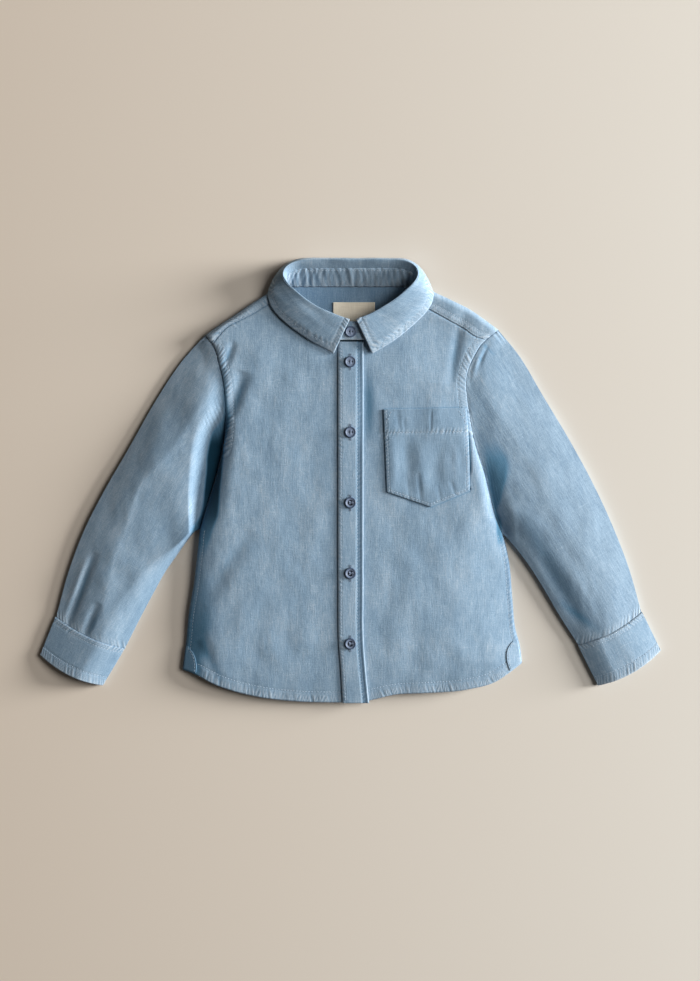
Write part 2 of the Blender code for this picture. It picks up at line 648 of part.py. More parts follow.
def placket():
    """Buttonhole band over the meeting edges of the fronts."""
    y = front_plan(-1, FRONT_SPLIT_X)[:, -1, 1]
    left, right = (column(PLACKET, "y", name, y) for name in ("left", "right"))
    t = np.linspace(0, 1, 5)
    x = mix(left[:, None], right[:, None], t)
    points = np.stack([x, np.broadcast_to(y[:, None], x.shape)], axis=-1)
    grid_object("placket", lay(points, LIFT + BAND), BAND)


def pocket():
    """Patch pocket with a pointed foot, on the left front."""
    u = np.array([0, .06, .2, .36, POCKET_POINT, .68, .82, .94, 1.0])
    v = np.array([0, .05, .2, .4, .6, .8, 1.0])
    low, point, high = (np.array(p) for p in POCKET_BOTTOM)
    first = u[:, None] / POCKET_POINT
    second = (u[:, None] - POCKET_POINT) / (1 - POCKET_POINT)
    foot = np.where(first <= 1, mix(low, point, first), mix(point, high, second))
    head = mix(np.array(POCKET_TOP[0]), np.array(POCKET_TOP[1]), u[:, None])
    plan = mix(foot[None], head[None], v[:, None, None])
    plan[..., 0] += (POCKET_SIDE_BELLY * 4 * v * (1 - v))[:, None] * (u ** 6)
    grid_object("pocket", lay(plan, LIFT + CLOTH), CLOTH)


def gusset(side):
    """Small rounded patch over the foot of one side seam."""
    rows = GUSSETS[side]
    v = np.linspace(0, 1, 6)[:, None]
    inner = along(rows, v[:, 0])
    outer_y = mix(EDGES[side][0].y + GUSSET_INSET, rows[-1].y, v[:, 0])
    outer_x = column(EDGES[side], "y", "x", outer_y) - side * GUSSET_INSET
    u = np.linspace(0, 1, 4)
    x, y = mix(outer_x[:, None], inner[:, :1], u), mix(outer_y[:, None], inner[:, 1:], u)
    hem = column(HEM, "x", "y", x) + GUSSET_INSET
    y = np.maximum(y, mix(hem, y, ease(v)))
    grid_object(f"gusset_{SIDE_NAMES[side]}",
                lay(np.stack([x, y], axis=-1), LIFT + CLOTH), CLOTH, flip=side > 0)


def neck_label():
    """Woven label sewn inside the yoke, bare."""
    points = np.array([[(x, y, CLOTH + SEAM + LABEL_T) for x in LABEL_X] for y in LABEL_Y])
    grid_object("neck_label", points, LABEL_T, CREAM)


def ring(bm, radius, z, count, x=0.0):
    """Circle of vertices about (x, 0)."""
    angles = np.linspace(0, 2 * np.pi, count + 1)[:-1]
    return [bm.verts.new(((x + radius * np.cos(a)) * MM, radius * np.sin(a) * MM, z * MM))
            for a in angles]


def button(name, centre, tilt):
    """Two-hole button with a raised rim, its top at `centre`."""
    bm = bmesh.new()
    floor_z, under_z = -BUTTON_DISH, -BUTTON_DISH - BUTTON_T
    profile = [(BUTTON_R - BUTTON_RIM / 5, under_z), (BUTTON_R, under_z / 2),
               (BUTTON_R - BUTTON_RIM / 3, 0.0), (BUTTON_R - BUTTON_RIM, floor_z)]
    rim = [ring(bm, radius, z, BUTTON_SIDES) for radius, z in profile]
    walls = list(zip(rim, rim[1:]))
    holes = [[ring(bm, BUTTON_HOLE_R, z, HOLE_SIDES, x) for z in (floor_z, under_z)]
             for x in (-HOLE_SPACING / 2, HOLE_SPACING / 2)]
    for low, high in walls + holes:
        for i in range(len(low)):
            bm.faces.new([low[i - 1], low[i], high[i], high[i - 1]])
    for outer, level in ((rim[-1], 0), (rim[0], 1)):
        loops = [outer, *(hole[level] for hole in holes)]
        edges = [bm.edges.get((loop[i - 1], loop[i])) for loop in loops for i in range(len(loop))]
        bmesh.ops.triangle_fill(bm, use_beauty=True, edges=edges)
    bmesh.ops.recalc_face_normals(bm, faces=bm.faces)
    mesh = bpy.data.meshes.new(name)
    bm.to_mesh(mesh)
    bm.free()
    mesh.materials.append(material(name, SHELL, 0.35))
    made = bpy.data.objects.new(name, mesh)
    bpy.context.scene.collection.objects.link(made)
    made.location = [c * MM for c in centre]
    made.rotation_euler[0] = tilt


def buttons():
    """Five buttons down the placket and one on the collar stand."""
    for i in range(BUTTON_COUNT):
        y = TOP_BUTTON_Y - i * BUTTON_PITCH
        z = float(top(BUTTON_X, y)) + LIFT + BAND + SEAM + BUTTON_T + BUTTON_DISH
        slope = float(top(BUTTON_X, y + 5) - top(BUTTON_X, y - 5)) / 10
        button(f"button_{i + 1}", (BUTTON_X, y, z), np.arctan(slope))
    foot_y, top_y = STAND_END_Y
    foot_z, top_z = COLLAR[-1].seam[2] + STAND_OVERLAP, COLLAR[-1].top[2] + STAND_OVERLAP
    z = np.interp(NECK_BUTTON[1], (foot_y, top_y), (foot_z, top_z)) + BAND / 2 + SEAM
    slope = (top_z - foot_z) / (top_y - foot_y)
    button("button_neck", (*NECK_BUTTON, z + BUTTON_T + BUTTON_DISH), np.arctan(slope))


def main():
    """Clear the scene and build every piece."""
    for old in list(bpy.data.objects):
        bpy.data.objects.remove(old, do_unlink=True)
    back()
    yoke()
    fronts()
    for side in (-1, 1):
        sleeve(side)
        cuff(side)
        gusset(side)
    collar_stand()
    collar_fall()
    placket()
    pocket()
    neck_label()
    buttons()


main()
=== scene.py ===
"""The looks of a small child's chambray shirt, buttoned up and laid flat.

It is seen from straight above. Tables and helper values are in millimetres, in
the frame of the CAD, and the meshes are in metres. Each cut piece of cloth is
a thin shell on the form of its CAD solid, with its folds, the puckers along
its seams and its stitches.
"""
from collections import namedtuple

import bmesh
import bpy
import numpy as np
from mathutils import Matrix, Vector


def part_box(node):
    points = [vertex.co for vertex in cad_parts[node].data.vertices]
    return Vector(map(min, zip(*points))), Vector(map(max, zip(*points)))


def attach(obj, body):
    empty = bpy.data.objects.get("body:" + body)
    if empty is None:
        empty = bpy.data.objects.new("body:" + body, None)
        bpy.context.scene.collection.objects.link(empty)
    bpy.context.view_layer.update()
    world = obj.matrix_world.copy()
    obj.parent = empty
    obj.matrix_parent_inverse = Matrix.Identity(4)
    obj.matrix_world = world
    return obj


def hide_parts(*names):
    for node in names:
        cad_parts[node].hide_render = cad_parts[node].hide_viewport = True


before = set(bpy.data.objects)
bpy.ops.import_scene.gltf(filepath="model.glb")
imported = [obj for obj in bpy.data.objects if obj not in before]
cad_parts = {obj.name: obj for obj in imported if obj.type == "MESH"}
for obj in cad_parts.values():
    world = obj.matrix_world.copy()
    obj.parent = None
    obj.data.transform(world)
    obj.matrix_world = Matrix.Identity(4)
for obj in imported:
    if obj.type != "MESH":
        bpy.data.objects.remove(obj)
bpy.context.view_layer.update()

MM = 0.001
PITCH = 1.3   # spacing of a panel's points

CLOTH = 1.2                # thickness of a single cloth, and of a lined band
BAND = 1.6
SEAM = 0.35                # gaps between neighbouring pieces
SEAM_GAP = 0.5
LIFT = 0.6                 # how far above the fronts a piece on them lies
FOLD_Z = 5.0               # height of the folds at the shoulders
YOKE_BACK_Y = 118.0        # the yoke's seam behind


def table(kind, rows):
    """A table's rows, with their columns named."""
    return [kind(*row) for row in rows]


# Side seam and armhole of the laid body, from the hem up. z is the height of
# the front's outer face at the edge, roll the reach of its rounded shoulder.
Edge = namedtuple("Edge", "y x z roll full")
RIGHT_EDGE = table(Edge, [
    (-189, -167.6, 2.6, 38, 0.85), (-162, -164.0, 2.6, 40, 0.85), (-138, -161.8, 3.4, 40, 1.0),
    (-102, -156.0, 4.8, 50, 1.3), (-66, -151.8, 6.4, 44, 1.6), (-49, -150.0, 4.6, 36, 1.7),
    (-38, -147.0, 3.2, 30, 1.6), (-15, -140.0, 2.6, 24, 1.6), (10, -132.5, 2.8, 19, 2.0),
    (35, -127.0, 3.8, 17, 2.3), (48, -125.2, 5.6, 15, 2.3), (60, -124.5, 8.8, 14, 2.0),
    (76, -124.8, 11.8, 12, 2.0), (98, -127.0, 12.6, 10, 2.0), (113, -130.5, 11.8, 10, 2.0),
    (132, -136.2, 10.0, 10, 2.0), (141.2, -142.6, 8.6, 8, 2.3), (144.5, -144.8, FOLD_Z, 8, 2.3),
])
LEFT_EDGE = table(Edge, [
    (-182.5, 171.2, 2.6, 62, 1.1), (-166, 168.8, 2.6, 80, 1.0), (-152, 165.0, 2.6, 90, 1.0),
    (-120, 161.8, 2.6, 90, 1.0), (-80, 158.0, 2.6, 80, 1.1), (-53, 151.5, 2.6, 50, 1.4),
    (-40, 146.0, 5.2, 30, 1.6), (-14, 138.5, 9.4, 22, 1.8), (9, 132.5, 11.4, 16, 1.8),
    (25, 126.8, 12.6, 14, 1.8), (44, 121.8, 12.8, 20, 1.5), (61, 118.8, 13.0, 32, 1.3),
    (80, 116.0, 12.6, 42, 1.2), (99, 115.0, 12.0, 48, 1.2), (111, 117.5, 11.2, 50, 1.2),
    (126, 124.5, 10.2, 50, 1.2), (137, 132.0, 9.2, 44, 1.2), (146.4, 143.6, 7.8, 30, 1.3),
    (149.6, 147.4, FOLD_Z, 20, 1.5),
])
EDGES = {-1: RIGHT_EDGE, 1: LEFT_EDGE}
SIDE_NAMES = {-1: "right", 1: "left"}
UNDERARM_Y = {-1: -49.0, 1: -53.0}
SHOULDER_Y = {-1: 144.5, 1: 149.6}

# Height of the fronts' outer face over the body, from the hem up
Level = namedtuple("Level", "y z")
BODY_LEVELS = table(Level, [
    (-224, 9.0), (-190, 13.4), (-150, 15.6), (-60, 17.0), (40, 16.4), (110, 14.2), (140, 13.0),
    (175, 11.0), (200, 10.5),
])

Hem = namedtuple("Hem", "x y")
HEM = table(Hem, [
    (-167.6, -189), (-153.5, -194), (-137.5, -202.6), (-117.5, -210), (-97.5, -215),
    (-50.5, -220.8), (-10, -221.6), (10.5, -221.6), (24, -218.4), (45.5, -213.6), (69.5, -212.4),
    (119.5, -208), (145, -200.6), (159, -191.4), (171.2, -182.5),
])
BACK_HEM_SHORT = 2.5

# Shoulders, from the neck out: the fold at the top, and the seam with the front
Shoulder = namedtuple("Shoulder", "fold_x fold_y seam_x seam_y")
SHOULDERS = {
    -1: table(Shoulder, [
        (-71, 193.5, -72.2, 181), (-82.8, 186, -83.5, 174), (-98.8, 176, -98, 165.3),
        (-118.6, 162.4, -113, 157.7), (-133.2, 152.8, -124.5, 151), (-144.8, 144.5, -138.2, 134.9),
    ]),
    1: table(Shoulder, [
        (71, 194.5, 69.4, 174), (82.5, 188, 79, 169.5), (100.3, 179.6, 95, 160.5),
        (119.2, 170, 111.5, 151.5), (137.2, 157.4, 123, 143.5), (147.4, 149.6, 134.6, 139.6),
    ]),
}
FOLD_REACH_TOP = 6.0        # how far in the fold's curve levels off, above and below
FOLD_REACH_UNDER = 4.0

# The neckline is part of an ellipse, from the neck points down to the placket
NECK_Y = 193.0
NECK_HALF_WIDTH = 74.3
NECK_DROP = 55.6
BACK_NECK_Y = 192.8
BACK_NECK_X = (-62, -20, 20, 62)

# Sleeves and cuffs, from the shoulder down: the two edges in plan, the height of
# the crown and of the edges, and the reach of each rounded side
Sleeve = namedtuple("Sleeve", """outer_x outer_y inner_x inner_y height side_z
                    outer_roll inner_roll""")
SLEEVES = {
    -1: table(Sleeve, [
        (-144.8, 144.5, -150, -49, 13.6, 4.4, 40, 5),
        (-169.6, 116.4, -155.5, -52, 16.6, 4.2, 50, 5), (-195, 78, -164.5, -63, 17.4, 4.2, 55, 5),
        (-222, 30, -174.5, -77, 16.0, 5.4, 36, 9), (-246.2, -12, -185.5, -93, 15.4, 6.0, 40, 16),
        (-266.3, -52, -196.3, -112.5, 15.4, 6.0, 42, 22),
        (-281.6, -93, -208.8, -136, 15.2, 5.6, 46, 26),
        (-293.6, -137, -225, -168, 14.4, 5.2, 54, 28),
    ]),
    1: table(Sleeve, [
        (147.4, 149.6, 151.5, -53, 14, 5.0, 40, 26), (169.5, 122, 155.5, -57, 14.5, 5.4, 55, 30),
        (192.5, 83, 162, -64.5, 15, 6.0, 65, 34), (216.5, 43, 170.5, -75, 15.4, 6.4, 65, 38),
        (240, 0, 181.3, -90, 15, 6.2, 58, 40), (259.3, -41, 194, -110.5, 14.2, 6.0, 48, 36),
        (277, -86, 209.3, -136.5, 13.4, 5.6, 44, 32),
        (290.2, -132, 227.3, -164.5, 12.6, 5.2, 40, 30),
    ]),
}
# How the outer and the inner side of each sleeve curves: the power of its slope,
# from 1 for an even ramp, and its fullness, from 1 to a full round
TUBE_SIDES = {-1: ((1.35, 1.0), (1.6, 1.15)), 1: ((1.5, 1.0), (1.5, 1.0))}
SLEEVE_GRAIN = (0.49, -0.872)       # run of the warp down the wearer's left sleeve
CUFF_SEAM_BOW = 4.0
CUFF_END_BOW = 5.0
HEAD_REACH = 0.36
UNDER_REACH = 4.0
CUFF_TUCK = -0.019          # how far the cuff passes into the sleeve, as a share of its length
CUFF_WIDTH = 76
CUFF_STITCHES = (1.6, 5.0)
CUFF_END_STITCH = 9.5

# How the sleeve rises from the armhole, by its place there: first a low floor,
# the valley of the armpit, then a climb to its full height
Rise = namedtuple("Rise", "y floor climb")
RISES = {
    -1: table(Rise, [
        (-49, 2, 9), (-20, 6, 15), (7, 9, 19), (35, 10, 20), (52, 8, 19), (70, 3, 16), (85, 0, 18),
        (110, 0, 16), (144.5, 0, 14),
    ]),
    1: table(Rise, [
        (-53, 2, 12), (-30, 2, 17), (0, 2, 17), (30, 1, 20), (60, 0, 26), (100, 0, 24),
        (149.6, 0, 16),
    ]),
}

CUFFS = {
    -1: table(Sleeve, [
        (-294.6, -137.3, -225.4, -168.8, 15.0, 5.4, 54, 28),
        (-309.5, -174.6, -247, -205, 14.0, 5.4, 46, 26),
    ]),
    1: table(Sleeve, [
        (291.2, -132.3, 227.2, -165.6, 12.6, 5.4, 36, 22),
        (309.5, -170, 247, -205.2, 11.6, 5.4, 30, 20),
    ]),
}

# Collar, from the centre back to a front end, for the wearer's left half
Collar = namedtuple("Collar", "seam top roll edge")
COLLAR = table(Collar, [
    ((0, 193.6, 1.3), (0, 210.3, 16.5), (0, 218.0, 23.5), (0, 221.9, 3.5)),
    ((30, 193.6, 1.3), (30, 210.3, 16.5), (30, 218.0, 23.5), (30, 221.9, 3.5)),
    ((52, 193.6, 1.5), (50, 209.6, 17.0), (51, 217.0, 24.0), (53, 221.0, 4.0)),
    ((63, 193.2, 3.0), (60, 205.8, 18.0), (63, 211.5, 25.0), (67, 214.0, 6.0)),
    ((68.4, 190.0, 6.5), (64, 199.0, 19.0), (66.5, 203.5, 25.5), (76, 202.5, 9.0)),
    ((69.0, 184.0, 10.5), (62, 192.0, 19.5), (62.5, 195.5, 25.2), (81, 191.0, 12.0)),
    ((67.4, 176.0, 12.4), (55, 185.4, 19.5), (55, 188.0, 24.8), (82.5, 182.0, 13.5)),
    ((59.0, 163.8, 13.3), (45, 176.8, 19.0), (44, 179.3, 24.2), (77, 169.0, 15.5)),
    ((45.0, 151.6, 13.8), (32, 169.0, 18.2), (31, 171.2, 23.6), (63, 154.5, 16.5)),
    ((28.6, 143.6, 14.0), (18, 162.4, 16.8), (17.5, 164.4, 23.2), (42, 138.5, 17.4)),
    ((12.0, 139.2, 14.0), (7, 157.6, 15.6), (3.2, 159.0, 23.0), (19, 125.3, 17.6)),
])
COLLAR_BACK_SHIFT = 2.4     # how far it lies off the middle, behind and in front
COLLAR_FRONT_SHIFT = 2.4
STAND_OVERLAP = 2.3         # height of one end of the stand over the other
STAND_END_X = {-1: 9.0, 1: -13.2}
STAND_END_Y = (139.0, 157.2)
OVERLAP_RISE = {-1: (-28, 12), 1: (45, -30)}
FALL_SWELL = ((0.22, 0.6), (0.6, 1.0))
FALL_STITCH = 5.5
FALL_DROP = 1.3             # how far its edge bends down
STAND_GROOVE = 2.2
STAND_STITCHES = (1.0, 2.4)
STAND_BACK = 62             # half the length that lies behind the neck

Placket = namedtuple("Placket", "y left right")
PLACKET = table(Placket, [
    (-222, -9.0, 18.6), (-190, -10.7, 15.4), (-165, -12.6, 13.4), (-100, -13.4, 12.9),
    (0, -13.5, 12.9), (137.4, -13.5, 12.9),
])
PLACKET_TURN = 1.0           # the band's folded edge pulls in from the solid's
PLACKET_STITCHES = (3.2, 6.0)
FRONT_SPLIT_X = 8.6

POCKET_TOP = ((32.5, 70.0), (115.0, 71.6))
POCKET_BOTTOM = ((35.8, -12.0), (79.2, -27.0), (118.2, -11.0))
POCKET_POINT = 0.52
POCKET_SIDE_BELLY = 1.0

Gusset = namedtuple("Gusset", "x y")
GUSSETS = {
    -1: table(Gusset, [
        (-153.6, -192.4), (-153.0, -184), (-155.6, -174), (-161.4, -166),
    ]),
    1: table(Gusset, [
        (158.4, -190), (155.2, -179), (156.2, -168.5), (162.2, -160),
    ]),
}
GUSSET_INSET = 1.2
GUSSET_LIFT = 0.35
GUSSET_WALL = 0.4
# painted shade over each gusset
GUSSET_PAINTED_SHADE = {-1: 0.42, 1: 0.06}
GUSSET_STITCH = 2.0

LABEL_X = (-17.5, 24.5)
LABEL_Y = (157.0, 177.5)
LABEL_T = 1.0

# Folds: a line in plan, its half width, its height (negative in a trough) and
# how far it bows to the left of its run. The larger ones are in the CAD too.
Fold = namedtuple("Fold", "x0 y0 x1 y1 width rise bow", defaults=(0,))
FOLDS = table(Fold, [
    (-106, 108, -121, 62, 7.0, -3.0), (-116, 138, -125, 112, 4.0, -1.6),
    (109, 156, 99, 88, 5.0, -1.8), (98, 158, 92, 96, 24.0, -2.2), (134, 150, 120, 98, 2.6, 1.1),
    (140, 142, 127, 112, 1.8, -0.9), (14.5, 116, 14.5, 30, 5.5, -0.9),
    (-98, -50, -146, -122, 9.0, -1.3), (-148, -158, -130, -206, 6.0, -0.7),
    (150, -28, 176, -70, 8.0, -1.0), (126, 12, 138, -44, 6.0, 1.1), (-150, 88, -151, -6, 9.0, 0.6),
    (-254, -72, -284, -148, 4.2, -2.4), (-262, -76, -290, -148, 4.0, 1.2),
    (-251, -122, -267, -160, 4.0, -1.8), (187, -74, 231, -150, 9.0, -1.8),
    (194, -30, 222, -96, 10.0, -1.0), (172, -66, 219, -150, 4.0, 1.0),
])

# Puckers beside each seam: the middle of their row and its reach, their height,
# spacing and slant, and the fading on their crests with the painted shade in their troughs
Pucker = namedtuple("Pucker", "at reach rise pitch slant fade")
PUCKERS = {
    "hem": Pucker(3.5, 4.4, 0.46, 3.1, 0.3, 0.8),
    "fell": Pucker(0.0, 4.4, 0.60, 3.8, 0.7, 0.7),
    "flank": Pucker(2.5, 3.4, 0.22, 4.1, 0.5, 0.4),
    "back hem": Pucker(5.5, 5.0, 0.0, 6.0, 0.8, 0.6),
    "yoke seam": Pucker(3.5, 4.5, 0.40, 3.3, 0.7, 0.9),
    "yoke ends": Pucker(3.0, 4.0, 0.2, 3.4, 0.6, 0.5),
    "sleeve foot": Pucker(2.0, 5.0, 0.30, 4.2, 0.6, 0.55),
    "sleeve head": Pucker(1.5, 4.0, 0.14, 4.4, 0.6, 0.35),
    "cuff seam": Pucker(2.0, 3.5, 0.24, 3.3, 0.6, 0.7),
    "cuff end": Pucker(3.5, 5.0, 0.36, 3.2, 0.4, 0.75),
    "stand foot": Pucker(6.0, 9.0, 0.22, 6.5, 0.12, 0.5),
    "stand low": Pucker(3.0, 5.0, 0.20, 3.4, 0.3, 0.5),
    "stand top": Pucker(2.0, 5.0, 0.24, 4.0, 0.3, 0.5),
    "fall edge": Pucker(2.4, 3.0, 0.42, 3.1, 0.7, 0.8),
    "fall stitches": Pucker(6.5, 2.4, 0.24, 4.2, -0.5, 0.5),
    "placket left": Pucker(2.0, 3.0, 0.16, 4.0, 0.6, 0.5),
    "placket right": Pucker(5.0, 3.0, 0.14, 4.4, 0.6, 0.2),
    "pocket sides": Pucker(1.6, 2.8, 0.2, 3.6, 0.6, 0.45),
    "pocket mouth": Pucker(23.0, 3.0, 0.2, 4.2, 0.3, 0.55),
    "shoulder seam": Pucker(0.0, 4.5, 0.26, 3.4, 0.5, 0.55),
    "gusset": Pucker(0.0, 4.0, 0.2, 3.6, 0.5, 0.4),
}


# ---- numbers from the tables -------------------------------------------------

def spline(knots, values, at):
    """Smooth curve through a table: its values at the knots, read at `at`."""
    knots, values = np.asarray(knots, float), np.asarray(values, float)
    slopes = np.gradient(values, knots, axis=0)
    at = np.clip(np.asarray(at, float), knots[0], knots[-1])
    i = np.clip(np.searchsorted(knots, at, side="right") - 1, 0, len(knots) - 2)
    step = knots[i + 1] - knots[i]
    t = (at - knots[i]) / step
    if values.ndim > 1:
        step, t = step[..., None], t[..., None]
    start = (2 * t**3 - 3 * t**2 + 1) * values[i] + (t**3 - 2 * t**2 + t) * step * slopes[i]
    end = (3 * t**2 - 2 * t**3) * values[i + 1] + (t**3 - t**2) * step * slopes[i + 1]
    return start + end


def column(rows, name, at):
    """One named column of a table, read against the table's y."""
    return spline([r.y for r in rows], [getattr(r, name) for r in rows], at)


def edge_x(side, y):
    """Where the body's side edge runs at y."""
    return column(EDGES[side], "x", y)


def edge_line(side, y):
    """Points of the body's side edge in plan."""
    return join(edge_x(side, y), y)


def hem_y(x):
    """Where the hem runs at x."""
    return spline([r.x for r in HEM], [r.y for r in HEM], x)


def along(rows, at):
    """A table's rows, read by station from 0 (first row) to 1 (last row)."""
    return spline(np.linspace(0, 1, len(rows)), [np.ravel(r) for r in rows], at)


def ease(t):
    """Smooth step from 0 to 1."""
    t = np.clip(t, 0, 1)
    return t * t * (3 - 2 * t)


def bell(d, width, power=2):
    """1 at a line, falling off on both sides of it."""
    return np.exp(-(d / width) ** power)


def pillow(u, v):
    """Rise over a patch from 0 at its border to 1 in its middle."""
    return np.sin(np.pi * u)[None] * np.sin(np.pi * v)[:, None]


def unit(v):
    """Vectors at length 1."""
    return v / np.maximum(np.linalg.norm(v, axis=-1, keepdims=True), 1e-9)


def join(*parts):
    """Coordinates, or corners, put together along a last axis."""
    return np.stack(parts, axis=-1)


def at_height(plan, z):
    """Points in plan, brought to a height."""
    return np.concatenate([plan, np.broadcast_to(z, plan.shape[:-1])[..., None]], axis=-1)


def closed_round(grid):
    """A grid with its first column again after its last."""
    return np.concatenate([grid, grid[:, :1]], axis=1)


def mix(a, b, t):
    """Straight blend of two points or numbers."""
    return a + (b - a) * t


def steps(length, pitch=PITCH):
    """Even parameters from 0 to 1 for a length."""
    return np.linspace(0, 1, max(int(round(length / pitch)), 2) + 1)


def run_of(line):
    """Distance along a line of points at each of them."""
    gaps = np.linalg.norm(np.diff(line, axis=0), axis=-1)
    return np.concatenate([np.zeros((1, *gaps.shape[1:])), np.cumsum(gaps, axis=0)])


def rolled(reach, power, full):
    """Rise of a rounded side, from 0 at its edge to 1 where it levels off."""
    return np.clip(1 - (1 - np.clip(reach, 0, 1)) ** power, 0, 1) ** (1 / full)


def folds(x, y, lines=FOLDS):
    """Rise and fall of the cloth at its folds."""
    rise = np.zeros(np.broadcast(x, y).shape)
    for f in lines:
        run = np.hypot(f.x1 - f.x0, f.y1 - f.y0)
        ux, uy = (f.x1 - f.x0) / run, (f.y1 - f.y0) / run
        t = ((x - f.x0) * ux + (y - f.y0) * uy) / run
        hump = np.clip(4 * t * (1 - t), 0, 1)
        away = (x - f.x0) * uy - (y - f.y0) * ux + f.bow * hump
        rise = rise + f.rise * hump ** 0.7 * bell(away, f.width)
    return rise


def swell_table(seed, count, short, long, upright):
    """Directions, lengths and phases of the waves in a swell."""
    rng = np.random.default_rng(seed)
    length = rng.uniform(short, long, count)
    angle = rng.normal(0, upright, count)
    phase = rng.uniform(0, 2 * np.pi, count)
    return 2 * np.pi / length, np.cos(angle), np.sin(angle), phase


BROAD = swell_table(3, 12, 26, 70, 0.55)
COLLAR_SWELL = swell_table(21, 12, 12, 40, 1.4)
FINE = swell_table(8, 16, 8, 17, 0.45)
STAND_SWELL = swell_table(31, 10, 4.5, 11, 0.3)


def swell(x, y, waves, size):
    """Slight unevenness of laid cloth, its waves running mostly up and down."""
    rise = 0.0
    for k, c, s, phase in zip(*waves):
        rise = rise + np.sin(k * (x * c + y * s) + phase + np.sin(y * k / 3 + phase))
    return size * rise / np.sqrt(len(waves[0]))


def uneven(x, y):
    """Broad and fine unevenness together, in mm."""
    return swell(x, y, BROAD, 0.24) + swell(x, y, FINE, 0.035)


SUPER = 2.3                # how full the body's rounded sides are
EDGE_ROUND = 2.0           # the smaller round down the flanks, and its share there
EDGE_SHARE = 0.28


def top(x, y):
    """Height of the fronts' outer face."""
    x, y = np.asarray(x, float), np.asarray(y, float)
    calm = ease((np.abs(x) - 12) / 25) * ease((150 - y) / 40)
    z = column(BODY_LEVELS, "z", y) + folds(x, y) + uneven(x, y) * calm
    for side, rows in EDGES.items():
        inside = side * (edge_x(side, y) - x)
        slow = rolled(inside / column(rows, "roll", y), SUPER, column(rows, "full", y))
        share = EDGE_SHARE * (1 - ease((y + 50) / 30))
        rise = mix(slow, rolled(inside / EDGE_ROUND, SUPER, SUPER), share)
        z = mix(column(rows, "z", y), z, rise)
    return z


def lay(points, rise=0.0):
    """Plan points laid on the fronts' outer face, moved out from it by `rise`."""
    x, y = np.moveaxis(np.asarray(points, float)[..., :2], -1, 0)
    out = unit(join(top(x - 1, y) - top(x + 1, y), top(x, y - 1) - top(x, y + 1),
                    np.full(x.shape, 2.0)))
    return join(x, y, top(x, y)) + out * np.asarray(rise)[..., None]


def shift(line, amount):
    """A line in plan, moved sideways to the left of its run."""
    run = unit(np.gradient(line, axis=0))
    return line + amount * join(-run[:, 1], run[:, 0])


# ---- puckers, fading, painted shade and stitches -----------------------------

def ripple(s, pitch, seed):
    """Uneven ripple along a seam, from -1 to 1."""
    s = s / pitch
    phase = s + 0.3 * np.sin(0.9 * s + seed) + 0.13 * np.sin(2.3 * s + 2.1 * seed)
    return (0.68 + 0.32 * np.sin(0.37 * s + 3 * seed)) * np.sin(2 * np.pi * phase)


def near(points, line):
    """Run along a line at the spot nearest to each point, and the distance from it,
    positive on the left of its run."""
    line = np.asarray(line, float)
    best, s, d = np.full(points.shape[:-1], np.inf), 0.0, 0.0
    for a, b, start in zip(line, line[1:], run_of(line)):
        ab, ap = b - a, points - a
        length = np.hypot(*ab)
        if length < 1e-9:
            continue
        t = np.clip((ap @ ab) / length ** 2, 0, 1)
        gap = np.linalg.norm(ap - t[..., None] * ab, axis=-1)
        closer = gap < best
        best = np.where(closer, gap, best)
        s = np.where(closer, start + t * length, s)
        left = ab[0] * ap[..., 1] - ab[1] * ap[..., 0] > 0
        d = np.where(closer, np.where(left, gap, -gap), d)
    return s, d


class Relief:
    """Small relief, fading and painted shade gathered over the points of a panel."""

    def __init__(self, cloth):
        self.cloth = cloth
        self.rise, self.wear, self.deep, self.tone = np.zeros((4, *cloth.shape[:-1]))
        self.seed = 0.0

    def ripples(self, s, d, name, **changes):
        """Puckers beside a seam, the fading on their crests and painted shade in their troughs."""
        pucker = PUCKERS[name]._replace(**changes)
        self.seed += 1.3
        wave = ripple(s + pucker.slant * d, pucker.pitch, self.seed)
        hold = bell(d - pucker.at, pucker.reach)
        self.rise += pucker.rise * hold * wave
        self.wear += pucker.fade * hold * np.clip(0.3 + 0.8 * wave, 0, 1)
        # painted shade in the troughs of the puckers
        self.deep += 0.28 * pucker.fade * hold * np.clip(-wave - 0.1, 0, 1)

    def groove(self, d, at=0.0, width=0.9, depth=0.25):
        """The line that a row of stitches pulls down."""
        self.rise -= depth * bell(d - at, width)

    def seam(self, line, name, sewn=0.0, width=0.9, depth=0.25, both=False, **changes):
        """Puckers and a stitched groove beside a line, or on both sides of it; gives
        the distance from the line."""
        s, d = near(self.cloth, line)
        d = np.abs(d) if both else d
        self.ripples(s, d, name, **changes)
        self.groove(d, sewn, width, depth)
        return d


threads = []          # rows of stitches: their two ends, outward vectors and width


def place(outer, cloth, spots):
    """Points and normals on a panel at places given in its cloth coordinates."""
    flat, spots = cloth.reshape(-1, 2), np.asarray(spots, float)
    pick = np.array([np.argmin(((flat - spot) ** 2).sum(-1)) for spot in spots])
    pr, pc, cr, cc = (np.gradient(grid, axis=axis).reshape(-1, grid.shape[-1])[pick]
                      for grid in (outer, cloth) for axis in (0, 1))
    off = spots - flat[pick]
    det = cr[:, 0] * cc[:, 1] - cr[:, 1] * cc[:, 0]
    det = np.where(np.abs(det) < 1e-9, 1e-9, det)
    r = np.clip((off[:, 0] * cc[:, 1] - off[:, 1] * cc[:, 0]) / det, -1, 1)[:, None]
    c = np.clip((cr[:, 0] * off[:, 1] - cr[:, 1] * off[:, 0]) / det, -1, 1)[:, None]
    return outer.reshape(-1, 3)[pick] + pr * r + pc * c, unit(np.cross(pc, pr))


